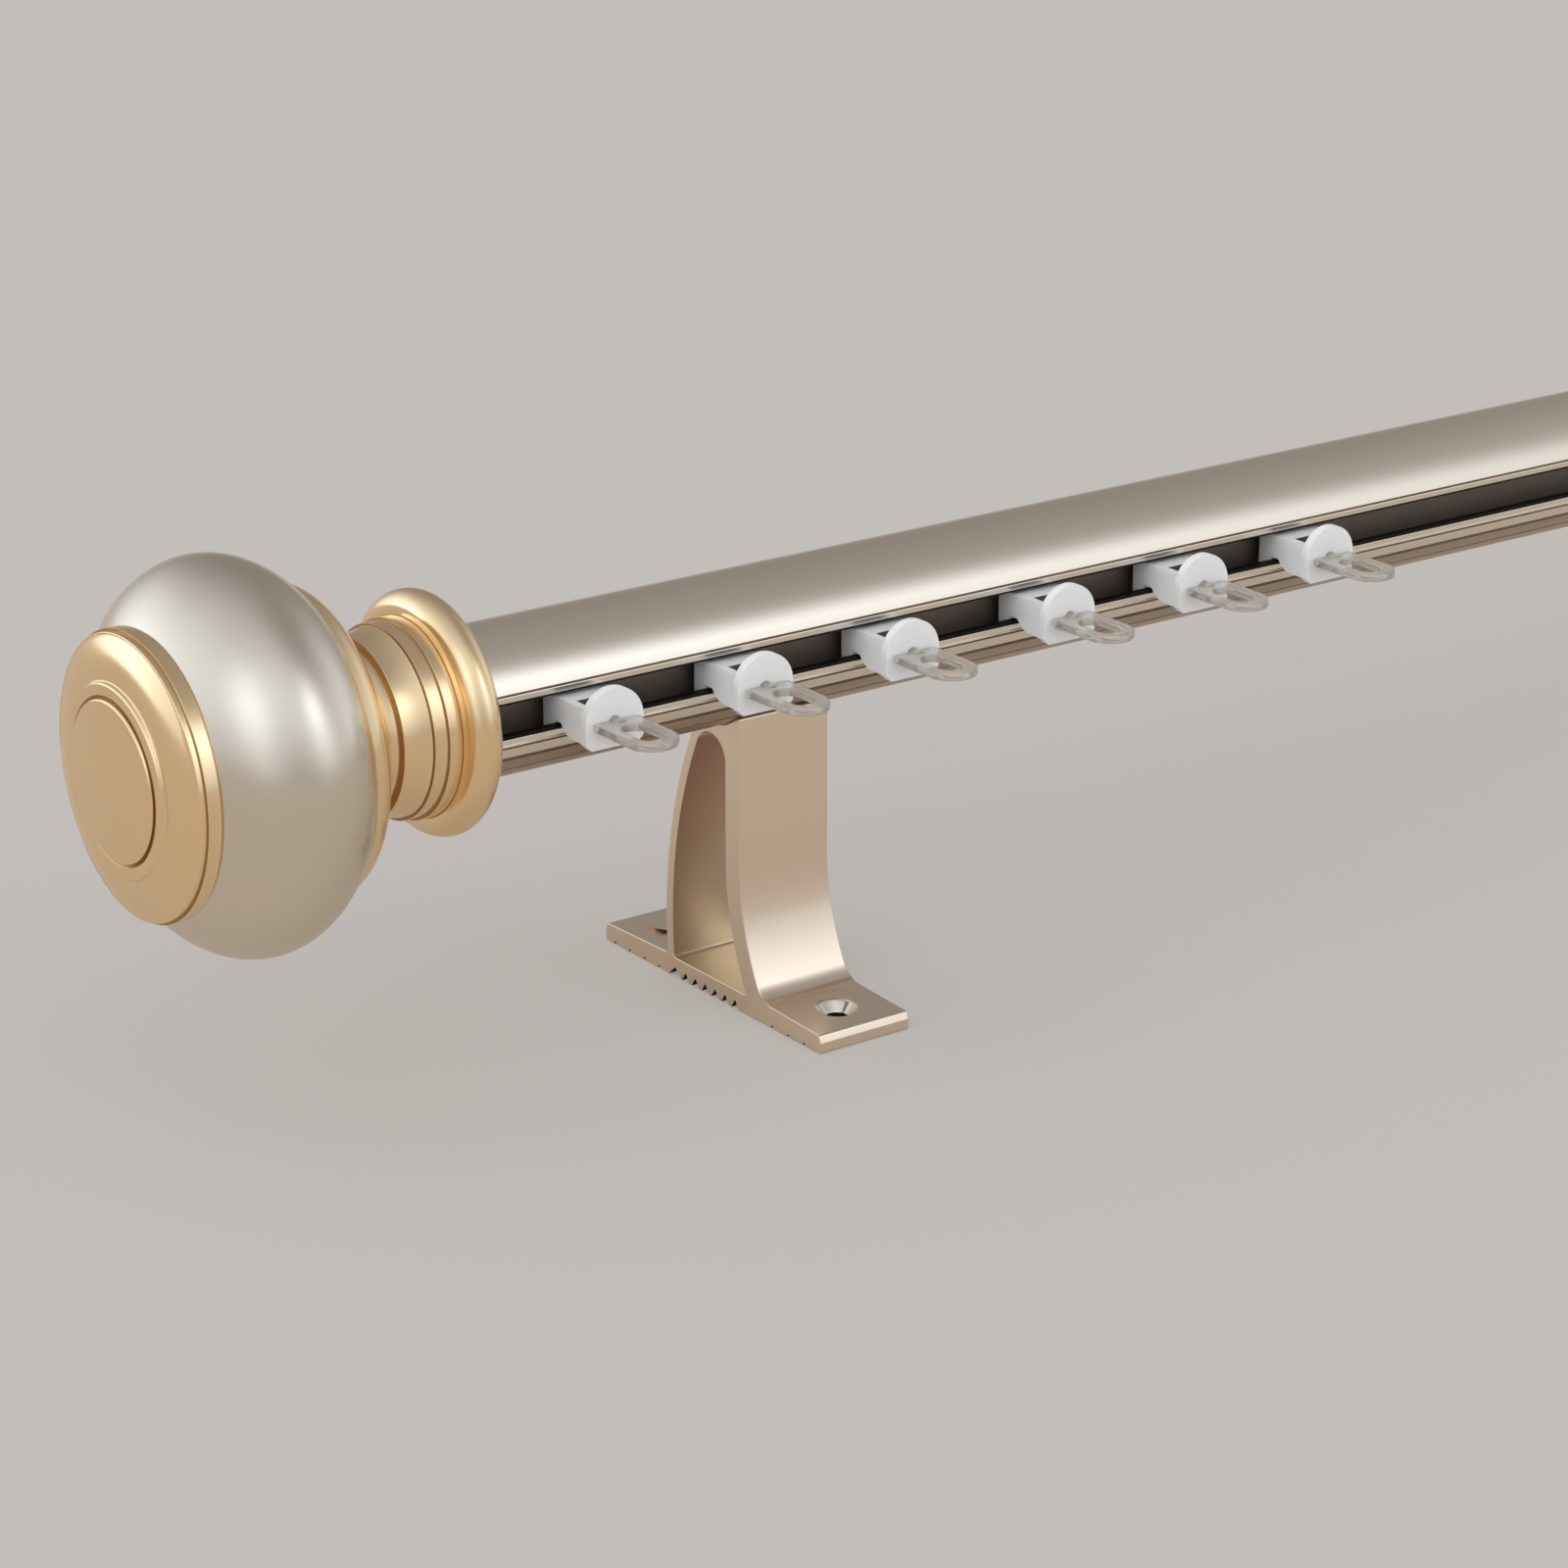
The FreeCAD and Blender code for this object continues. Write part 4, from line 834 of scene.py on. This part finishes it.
neck_corners += through(neck_top, neck_middle, (neck_edge, NECK_RADIUS))[:-1]
neck_corners += [(neck_edge, NECK_RADIUS, 0.3), (neck_edge, cove_radius, 0.1)]
neck_corners += through((neck_edge, cove_radius), cove_middle, collar_rim)[:-1]
neck_corners += [(*collar_rim, 0.25)]
neck_corners += through(collar_rim, collar_middle, collar_edge)[:-1]
neck_corners += [
    collar_edge,
    (collar_end, NECK_SPIGOT_RADIUS),
    (collar_end + SPIGOT_LENGTH, NECK_SPIGOT_RADIUS),
    (collar_end + SPIGOT_LENGTH, TIE_SCREW_PASS_RADIUS),
    (RAIL_INSERTION + HEAD_ROOM_LENGTH, TIE_SCREW_PASS_RADIUS),
    (RAIL_INSERTION + HEAD_ROOM_LENGTH, HEAD_ROOM_RADIUS),
    (RAIL_INSERTION, HEAD_ROOM_RADIUS),
    (RAIL_INSERTION, SOCKET_RADIUS),
]
set_screw_profile = [
    (SOCKET_RADIUS - 1, 0),
    (SOCKET_RADIUS - 1, SET_SCREW_HOLE_RADIUS),
    (NECK_RADIUS + 2, SET_SCREW_HOLE_RADIUS),
    (NECK_RADIUS + 2, 0),
]
# Steps of the neck whose faces get the painted shade.
shaded_neck_steps = (
    (steps_start, 0.5, BEAD_CENTRE - BEAD_RADIUS, BEAD_CENTRE - 0.3),
    (steps_start + BAND_LENGTH, 0.12, band, band + BAND_HEIGHT),
    (neck_start, 0.12, NECK_RADIUS, band),
    (neck_edge, 0.12, cove_radius, NECK_RADIUS),
)
for side_name, side in SIDES:
    neck = turned("finial_neck_" + side_name + "_turned", side, rounded(neck_corners, 4), gold_turned)
    screw_x = side * (FLANGE_FACE + SET_SCREW_PLACE)
    drill(
        neck,
        lambda along, a, b: (screw_x + a, along, b + AXIS_HEIGHT),
        set_screw_profile,
        steps=48,
        uv_name="turning",
    )
    neck.data.set_sharp_from_angle(angle=math.radians(CREASE))
    keep_flats_flat(neck)
    paint_step_shade(neck, side, shaded_neck_steps)
    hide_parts("finial_neck_" + side_name)
    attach(neck, "track")


# Finial tie screws and set screws
# A long screw runs from inside the neck through the ball into the cap's hub, and a grub screw in the
# neck presses on the rail. Both are zinc plated steel and keep the CAD meshes.
coat("finial_tie_screw_", "finial_set_screw_")


# Finial balls
# An oblate hollow ball, spun from aluminium and bead blasted before a champagne silver lacquer. It is
# clamped between the collar and the cap.
BALL_WALL = 2.5
BALL_SILVER = "#E0DACF"
satin_ball = turned_metal("satin_lacquered_spun_aluminium", BALL_SILVER, roughness=0.23, spread_by=0.01)


def ball_arc(half_length, radius, start, end, steps):
    """Points of the ball's section between two distances from its middle."""
    first = math.asin(start / half_length)
    last = math.asin(end / half_length)
    turns = [first + (last - first) * i / steps for i in range(steps + 1)]
    return [(ball_centre + half_length * math.sin(t), radius * math.cos(t)) for t in turns]


inner_length = BALL_HALF_LENGTH - BALL_WALL
inner_radius = BALL_RADIUS - BALL_WALL
ball_profile = ball_arc(BALL_HALF_LENGTH, BALL_RADIUS, -BALL_COLLAR_CUT, BALL_CAP_CUT, steps=48)
ball_profile += ball_arc(inner_length, inner_radius, BALL_CAP_CUT, -BALL_COLLAR_CUT, steps=24)
for side_name, side in SIDES:
    ball = turned("finial_ball_" + side_name + "_shell", side, ball_profile, satin_ball)
    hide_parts("finial_ball_" + side_name)
    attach(ball, "track")


# Finial end caps
# A turned disc in the neck's gold: a stepped rim, a sloping brushed face, a raised ring and a domed
# boss. Its hub reaches into the ball and takes the tie screw.
CAP_OVERHANG = 0.55
CAP_BAND_LENGTH = 2.8
CAP_BAND_STEP = 0.5
CAP_RIM_LENGTH = 1.1
CAP_RIM_ROUND = 0.5
CAP_FACE_RISE = 2.2
CAP_RING_RADIUS = 17.8
CAP_RING_HEIGHT = 0.8
CAP_RING_WIDTH = 2.3
CAP_GROOVE_DEPTH = 0.35
CAP_BOSS_RADIUS = 14.8
CAP_BOSS_HEIGHT = 0.9
CAP_BOSS_DOME = 0.9
CAP_DOME_START = 0.955
CAP_DOME_STEPS = 24
CAP_HUB_LENGTH = 8.0
CAP_HUB_RADIUS = 6.0
CAP_SPIGOT_RADIUS = 20.6
TIE_THREAD_RADIUS = 2.55
TIE_THREAD_END = 0.45

rim_radius = ball_radius_at(BALL_CAP_CUT) + CAP_OVERHANG
rim_step = cap_start + CAP_BAND_LENGTH
rim_end = rim_step + CAP_RIM_LENGTH
step_radius = rim_radius - CAP_BAND_STEP
face_outer = step_radius - CAP_RIM_ROUND
face_end = rim_end + CAP_FACE_RISE
ring_top = face_end + CAP_RING_HEIGHT
groove_floor = ring_top - CAP_GROOVE_DEPTH
boss_edge = groove_floor + CAP_BOSS_HEIGHT
face_middle = ((rim_end + face_end) / 2 + CAP_FACE_RISE / 5, (face_outer + CAP_RING_RADIUS) / 2)
dome_radius = (CAP_BOSS_RADIUS**2 + CAP_BOSS_DOME**2) / (2 * CAP_BOSS_DOME)
cap_corners = [
    (cap_start - CAP_HUB_LENGTH, TIE_THREAD_RADIUS),
    (cap_start - CAP_HUB_LENGTH, CAP_HUB_RADIUS, 0.4),
    (cap_start - SPIGOT_LENGTH, CAP_HUB_RADIUS),
    (cap_start - SPIGOT_LENGTH, CAP_SPIGOT_RADIUS, 0.3),
    (cap_start, CAP_SPIGOT_RADIUS),
    (cap_start, rim_radius, 0.3),
    (rim_step, rim_radius, 0.35),
    (rim_step, step_radius, 0.1),
    (rim_end, step_radius, CAP_RIM_ROUND),
    (rim_end, face_outer),
]
cap_corners += through((rim_end, face_outer), face_middle, (face_end, CAP_RING_RADIUS))[:-1]
cap_corners += [
    (face_end, CAP_RING_RADIUS, 0.3),
    (ring_top, CAP_RING_RADIUS - 0.3, 0.5),
    (ring_top, CAP_RING_RADIUS - CAP_RING_WIDTH, 0.2),
    (groove_floor, CAP_BOSS_RADIUS, 0.1),
    (boss_edge, CAP_BOSS_RADIUS, 0.45),
]
for i in range(1, CAP_DOME_STEPS + 1):
    r = CAP_BOSS_RADIUS * (1 - i / CAP_DOME_STEPS) * CAP_DOME_START
    cap_corners.append((boss_edge + CAP_BOSS_DOME - dome_radius + math.sqrt(dome_radius**2 - r**2), r))
cap_corners += [(cap_start - TIE_THREAD_END, 0), (cap_start - TIE_THREAD_END, TIE_THREAD_RADIUS)]
groove_middle = groove_floor + CAP_GROOVE_DEPTH / 2
# Steps of the cap whose faces get the painted shade.
shaded_cap_steps = (
    (rim_step, 0.12, step_radius, rim_radius),
    (groove_middle, CAP_GROOVE_DEPTH, CAP_BOSS_RADIUS - 0.1, CAP_BOSS_RADIUS + 0.55),
)
for side_name, side in SIDES:
    cap = turned("finial_cap_" + side_name + "_disc", side, rounded(cap_corners, 5), gold_turned)
    paint_step_shade(cap, side, shaded_cap_steps)
    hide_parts("finial_cap_" + side_name)
    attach(cap, "track")


# Runners
# Moulded white nylon: a T-shaped head in the channel, a neck in the slot and a square arm that carries
# a round-topped plate. Behind the plate a pocket lets the eyelet's pin snap in.
RUNNER_PLACES = (-256.6, -222.8, -188.3, -149.6, -115.0, -81.0)
HEAD_FRONT = -11.1
HEAD_BACK = -7.7
HEAD_HALF_HEIGHT = 5.3
RUNNER_NECK_HALF = 2.4
ARM_ROOT = -13.6
PLATE_FRONT = -22.8
PLATE_BACK = -21.0
ARM_HALF_WIDTH = 5.7
ARM_BOTTOM = -4.6
PLATE_HALF_WIDTH = 6.3
PLATE_TOP = 5.8
PLATE_BOTTOM = -5.5
PLATE_CHAMFER = 1.2
POCKET_HALF_WIDTH = 4.2
POCKET_LENGTH = 4.4
POCKET_DROP = 2.1
MOULD_EDGE = 0.22
SWIVEL_DROP = 0.9
PIN_RADIUS = 1.3
PIN_CLEARANCE = 0.06
NYLON_WHITE = "#E8EAEC"
POCKET_SHADE_GREY = "#5A5D63"

# Natural nylon, moulded: milky white, light bleeds a little under its skin, and it is only half glossy.
nylon, nylon_shader = moulded("moulded_white_nylon", NYLON_WHITE, roughness=0.4, grain=0.6, depth=0.006)
feed(nylon_shader, {"IOR": 1.53, "Subsurface Weight": 0.3})
feed(nylon_shader, {"Subsurface Radius": (1.0, 1.0, 1.0), "Subsurface Scale": 1.2 * MM})

# Painted shade: the pocket's walls are dark grey, standing for the shade inside the pocket.
# Graphite from the mould is a guess that stands for it.
pocket_shade_finish, _ = moulded("graphite_greyed_nylon", POCKET_SHADE_GREY, roughness=0.6, grain=0.6, depth=0.006)


def soften(piece, width, steps=3):
    """Rounds the edges that a mould leaves, then keeps the flat faces flat."""
    piece.modifiers.clear()
    bevel = piece.modifiers.new("edges", "BEVEL")
    bevel.width = width * MM
    bevel.segments = steps
    bevel.limit_method = "ANGLE"
    bevel.angle_limit = math.radians(35)
    bevel.use_clamp_overlap = True
    keep_flats_flat(piece)


def placing_tree():
    """Geometry Nodes tree that sets a moulding on a point of the slot's middle line."""
    tree = bpy.data.node_groups.new("moulding_on_slot", "GeometryNodeTree")
    for label, kind in (
        ("Moulding", "NodeSocketObject"),
        ("Place Along Rail", "NodeSocketFloat"),
        ("Height Over Wall", "NodeSocketFloat"),
        ("Finish", "NodeSocketMaterial"),
    ):
        tree.interface.new_socket(label, in_out="INPUT", socket_type=kind)
    tree.interface.new_socket("Geometry", in_out="OUTPUT", socket_type="NodeSocketGeometry")
    given = add(tree, "NodeGroupInput").outputs
    axes = {"X": given["Place Along Rail"], "Z": given["Height Over Wall"]}
    place = add(tree, "ShaderNodeCombineXYZ", axes)
    point = add(tree, "GeometryNodePoints", {"Count": 1, "Position": place})
    source = add(tree, "GeometryNodeObjectInfo", {"Object": given["Moulding"]}, transform_space="ORIGINAL")
    moulding = source.outputs["Geometry"]
    row = add(tree, "GeometryNodeInstanceOnPoints", {"Points": point, "Instance": moulding})
    solid = add(tree, "GeometryNodeRealizeInstances", {"Geometry": row})
    coated = add(tree, "GeometryNodeSetMaterial", {"Geometry": solid, "Material": given["Finish"]})
    add(tree, "NodeGroupOutput", {"Geometry": coated})
    return tree


moulding_on_slot = placing_tree()


def set_on_slot(name, moulding, place, height, material):
    """A copy of a moulding at its place along the rail, made by the tree, as a plain mesh."""
    mesh = bpy.data.meshes.new(name)
    piece = new_object(name, mesh)
    nodes = piece.modifiers.new("on_slot", "NODES")
    nodes.node_group = moulding_on_slot
    values = {
        "Moulding": moulding,
        "Place Along Rail": place * MM,
        "Height Over Wall": height * MM,
        "Finish": material,
    }
    for item in moulding_on_slot.interface.items_tree:
        if item.in_out == "INPUT":
            nodes[item.identifier] = values[item.name]
    piece.data = bpy.data.meshes.new_from_object(piece.evaluated_get(bpy.context.evaluated_depsgraph_get()))
    piece.modifiers.remove(nodes)
    bpy.data.meshes.remove(mesh)
    return piece


def runner_moulding():
    """One runner with the slot's middle line at the origin: T-head, arm, plate, pocket and bore."""
    sweep = (PLATE_BACK - ARM_ROOT) / 2
    under_middle = (ARM_ROOT + sweep / 4, (ARM_BOTTOM - RUNNER_NECK_HALF) / 2)
    side_profile = [
        (HEAD_BACK, HEAD_HALF_HEIGHT),
        (HEAD_FRONT, HEAD_HALF_HEIGHT),
        (HEAD_FRONT, RUNNER_NECK_HALF),
        (PLATE_BACK - 0.6, RUNNER_NECK_HALF),
        (PLATE_BACK - 0.6, ARM_BOTTOM),
        (ARM_ROOT + sweep, ARM_BOTTOM),
    ]
    side_profile += through(side_profile[-1], under_middle, (ARM_ROOT, -RUNNER_NECK_HALF), steps=10)
    side_profile += [
        (HEAD_FRONT, -RUNNER_NECK_HALF),
        (HEAD_FRONT, -HEAD_HALF_HEIGHT),
        (HEAD_BACK, -HEAD_HALF_HEIGHT),
    ]
    runner = prism(
        "runner_moulding",
        lambda a, b, along: (along, a, b),
        [rounded(side_profile)],
        -ARM_HALF_WIDTH,
        ARM_HALF_WIDTH,
        nylon,
    )
    top_centre = PLATE_TOP - PLATE_HALF_WIDTH
    plate_outline = arc((0, top_centre), PLATE_HALF_WIDTH, 0, 180, 6) + [
        (-PLATE_HALF_WIDTH, PLATE_BOTTOM + PLATE_CHAMFER),
        (PLATE_CHAMFER - PLATE_HALF_WIDTH, PLATE_BOTTOM),
        (PLATE_HALF_WIDTH - PLATE_CHAMFER, PLATE_BOTTOM),
        (PLATE_HALF_WIDTH, PLATE_BOTTOM + PLATE_CHAMFER),
    ]
    plate = prism(
        "plate", lambda a, b, along: (a, along, b), [plate_outline], PLATE_FRONT, PLATE_BACK, nylon
    )
    combine(runner, plate, "UNION")
    pocket_outline = [
        (-POCKET_HALF_WIDTH, PLATE_BACK),
        (POCKET_HALF_WIDTH, PLATE_BACK),
        (POCKET_HALF_WIDTH, PLATE_BACK + POCKET_LENGTH),
        (-POCKET_HALF_WIDTH, PLATE_BACK + POCKET_LENGTH),
    ]
    pocket = prism(
        "pocket",
        lambda a, b, along: (a, b, along),
        [pocket_outline],
        -SWIVEL_DROP - POCKET_DROP,
        RUNNER_NECK_HALF + 1,
        nylon,
    )
    combine(runner, pocket, "DIFFERENCE")
    bore_radius = PIN_RADIUS + PIN_CLEARANCE
    bore_profile = [
        (PLATE_FRONT - 1, 0),
        (PLATE_FRONT - 1, bore_radius),
        (PLATE_BACK + 0.5, bore_radius),
        (PLATE_BACK + 0.5, 0),
    ]
    drill(runner, lambda along, a, b: (a, along, b - SWIVEL_DROP), bore_profile, 40)
    return runner


runner_master = runner_moulding()
for number, runner_x in enumerate(RUNNER_PLACES, start=1):
    runner = set_on_slot(f"runner_{number}_moulding", runner_master, runner_x, AXIS_HEIGHT, nylon)
    # The pocket's walls get the painted shade.
    runner.data.materials.append(pocket_shade_finish)
    for face in runner.data.polygons:
        x, y, z = face.center / MM - Vector((runner_x, PLATE_BACK, AXIS_HEIGHT))
        beside = abs(x) < POCKET_HALF_WIDTH + 0.05 and -0.05 < y < POCKET_LENGTH + 0.05
        if beside and -SWIVEL_DROP - POCKET_DROP - 0.1 < z < RUNNER_NECK_HALF - 0.05:
            face.material_index = 1
    soften(runner, MOULD_EDGE)
    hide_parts(f"runner_{number}")
    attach(runner, f"runner_{number}")
bpy.data.objects.remove(runner_master)


# Swivel eyelets
# Clear moulded loops that take the curtain hooks. Each turns on a pin that snaps through its runner's
# plate.
EYELET_ROOT = -23.1
EYELET_LENGTH = 16.5
EYELET_HALF_WIDTH = 5.0
EYELET_THICKNESS = 1.6
EYELET_HOLE_HALF_WIDTH = 2.6
EYELET_HOLE_LENGTH = 10.4
EYELET_HOLE_SETBACK = 3.8
EYELET_CORNER_ROUND = 1.0
EYELET_RIM_ROUND = 0.35
PIN_EMBED = 2.4
SNAP_HEAD_START = 0.2
SNAP_HEAD_END = 1.4
SNAP_HEAD_RADIUS = 1.9
SNAP_HEAD_TIP_RADIUS = 1.2
CLEAR_GREY = "#E9E4DE"

# Clear polycarbonate with a little smoke: bright rims, and the rail's colours bend through it.
clear_plastic, clear_shader = moulded(
    "moulded_clear_polycarbonate", CLEAR_GREY, roughness=0.1, grain=1.5, depth=0.0, spread_by=0.02
)
feed(clear_shader, {"IOR": 1.5, "Transmission Weight": 0.72})


def eyelet_moulding():
    """One eyelet with its pin's axis through the origin: a flat loop with rounded rims, and the pin."""
    half = EYELET_HALF_WIDTH
    tip = EYELET_ROOT - EYELET_LENGTH
    loop_outline = arc((0, tip + half), half, -180, 0, 6)
    loop_outline += [(half, EYELET_ROOT, EYELET_CORNER_ROUND), (-half, EYELET_ROOT, EYELET_CORNER_ROUND)]
    hole_near = EYELET_ROOT - EYELET_HOLE_SETBACK - EYELET_HOLE_HALF_WIDTH
    hole_far = EYELET_ROOT - EYELET_HOLE_SETBACK - EYELET_HOLE_LENGTH + EYELET_HOLE_HALF_WIDTH
    hole_outline = arc((0, hole_near), EYELET_HOLE_HALF_WIDTH, 180, 0, 8)
    hole_outline += arc((0, hole_far), EYELET_HOLE_HALF_WIDTH, 0, -180, 8)
    eyelet = prism(
        "eyelet_moulding",
        lambda a, b, along: (a, b, along),
        [rounded(loop_outline), hole_outline],
        -EYELET_THICKNESS / 2,
        EYELET_THICKNESS / 2,
        clear_plastic,
        edge=EYELET_RIM_ROUND,
    )
    pin_profile = [
        (EYELET_ROOT - PIN_EMBED, 0),
        (EYELET_ROOT - PIN_EMBED, PIN_RADIUS, 0.3),
        (PLATE_BACK + SNAP_HEAD_START, PIN_RADIUS),
        (PLATE_BACK + SNAP_HEAD_START, SNAP_HEAD_RADIUS, 0.2),
        (PLATE_BACK + SNAP_HEAD_END, SNAP_HEAD_TIP_RADIUS, 0.2),
        (PLATE_BACK + SNAP_HEAD_END, 0),
    ]
    pin = spun("pin", lambda along, a, b: (a, along, b), rounded(pin_profile), clear_plastic, steps=40)
    combine(eyelet, pin, "UNION")
    return eyelet


eyelet_master = eyelet_moulding()
for number, eyelet_x in enumerate(RUNNER_PLACES, start=1):
    pin_height = AXIS_HEIGHT - SWIVEL_DROP
    eyelet = set_on_slot(f"eyelet_{number}_loop", eyelet_master, eyelet_x, pin_height, clear_plastic)
    keep_flats_flat(eyelet)
    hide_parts(f"eyelet_{number}")
    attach(eyelet, f"eyelet_{number}")
bpy.data.objects.remove(eyelet_master)


# Studio
# A seamless pale floor, soft light panels that also show in the metal, and a camera where the
# photograph was taken from.
FLOOR_COLOUR = "#C6C2BE"
FLOOR_SEEN = "#C2BDB9"
FLOOR_MIRRORED = "#C6BAAE"
FLOOR_FILL = 0.5
FLOOR_HALF = 12.0
CAMERA_AZIMUTH = math.radians(-36.03)
CAMERA_ELEVATION = math.radians(19.77)
CAMERA_PLACE = (-0.6732, -0.6478, 0.3281)
CAMERA_LENS = 100.3

floor_mesh = bpy.data.meshes.new("studio_floor")
floor_corners = [(x * FLOOR_HALF, y * FLOOR_HALF, 0) for x, y in ((-1, -1), (1, -1), (1, 1), (-1, 1))]
floor_mesh.from_pydata(floor_corners, [], [(0, 1, 2, 3)])
floor = new_object("studio_floor", floor_mesh)
floor_finish, floor_tree, floor_shader = new_finish("matt_paper_floor")
floor_place = add(floor_tree, "ShaderNodeTexCoord").outputs["Object"]
paper = add(floor_tree, "ShaderNodeTexNoise", {"Vector": floor_place, "Scale": 0.8, "Detail": 1.0})
feed(floor_shader, {"Roughness": spread(floor_tree, paper, 0.9, 0.05, low=0.0, high=1.0)})
feed(floor_shader, {"Base Color": linear(FLOOR_COLOUR), "Specular IOR Level": 0.1})
# Half of what the camera sees of the floor is its plain colour, which keeps shadows faint. The metal sees
# the lit floor in a warmer tone.
paths = add(floor_tree, "ShaderNodeLightPath").outputs
seen = number_math(floor_tree, "MAXIMUM", paths["Is Camera Ray"], paths["Is Transmission Ray"])
fill = number_math(floor_tree, "MULTIPLY", seen, FLOOR_FILL)
plain = add(floor_tree, "ShaderNodeEmission", {"Color": linear(FLOOR_SEEN), "Strength": 1.0})
floor_plain = add(floor_tree, "ShaderNodeMixShader", {0: fill, 1: floor_shader, 2: plain})
warm = add(floor_tree, "ShaderNodeBsdfDiffuse", {"Color": linear(FLOOR_MIRRORED)})
floor_mix = add(floor_tree, "ShaderNodeMixShader", {0: paths["Is Glossy Ray"], 1: floor_plain, 2: warm})
feed(node_of(floor_tree, "OUTPUT_MATERIAL"), {"Surface": floor_mix})
floor_mesh.materials.append(floor_finish)

# Soft panels round the table, each strongest at its middle: azimuth from the slot's side towards the
# rail's right end, elevation, how tightly it is focused, and its radiance.
PANELS = (
    ("front", 33, 18, 12, 0.68),
    ("front_core", 30, 34, 45, 0.8),
    ("front_low", -50, 4, 14, 0.32),
    ("front_left", -62, 32, 16, 0.86),
    ("over_front", -15, 42, 5, 0.62),
    ("right", 84, 8, 8, 0.62),
    ("left", -115, 16, 5, 0.7),
    ("back_left", -158, 4, 9, 0.95),
    ("back_left_core", -140, 3, 40, 0.6),
    ("over_left", -125, 65, 4, 0.3),
)
PANEL_TINT = (0.95, 1.0, 1.05)
ROOM_LIGHT = (0.29, 0.263, 0.238)
# Matt faces get more light than the metal mirrors, so that their colours show about as they are written.
MATT_GAIN = (1.54, 1.54, 1.53)

world = bpy.data.worlds.new("studio")
bpy.context.scene.world = world
world.use_nodes = True
sky = world.node_tree
sky.nodes.clear()
direction = add(sky, "ShaderNodeTexCoord").outputs["Generated"]
glow = 0.0
for panel_name, azimuth, elevation, focus, radiance in PANELS:
    a, e = math.radians(azimuth), math.radians(elevation)
    towards = (math.sin(a) * math.cos(e), -math.cos(a) * math.cos(e), math.sin(e))
    facing = vector_math(sky, "DOT_PRODUCT", direction, towards, result="Value")
    falloff = number_math(sky, "POWER", number_math(sky, "MAXIMUM", facing, 0.0), float(focus))
    glow = number_math(sky, "MULTIPLY_ADD", falloff, radiance, glow, label=panel_name)
light = vector_math(sky, "MULTIPLY_ADD", glow, PANEL_TINT, ROOM_LIGHT)
matt = add(sky, "ShaderNodeLightPath").outputs["Is Diffuse Ray"]
gain = add(sky, "ShaderNodeMix", {"Factor": matt, 4: (1.0, 1.0, 1.0), 5: MATT_GAIN}, data_type="VECTOR")
shown = vector_math(sky, "MULTIPLY", light, gain.outputs[1])
panel_light = add(sky, "ShaderNodeBackground", {"Color": shown, "Strength": 1.0})
add(sky, "ShaderNodeOutputWorld", {"Surface": panel_light})

camera_data = bpy.data.cameras.new("photo_camera")
camera_data.sensor_fit = "HORIZONTAL"
camera_data.sensor_width = 36.0
camera_data.lens = CAMERA_LENS
camera = new_object("photo_camera", camera_data)
camera.location = CAMERA_PLACE
camera.rotation_euler = (math.pi / 2 - CAMERA_ELEVATION, 0, CAMERA_AZIMUTH)
bpy.context.scene.camera = camera
bpy.context.scene.view_settings.view_transform = "Standard"
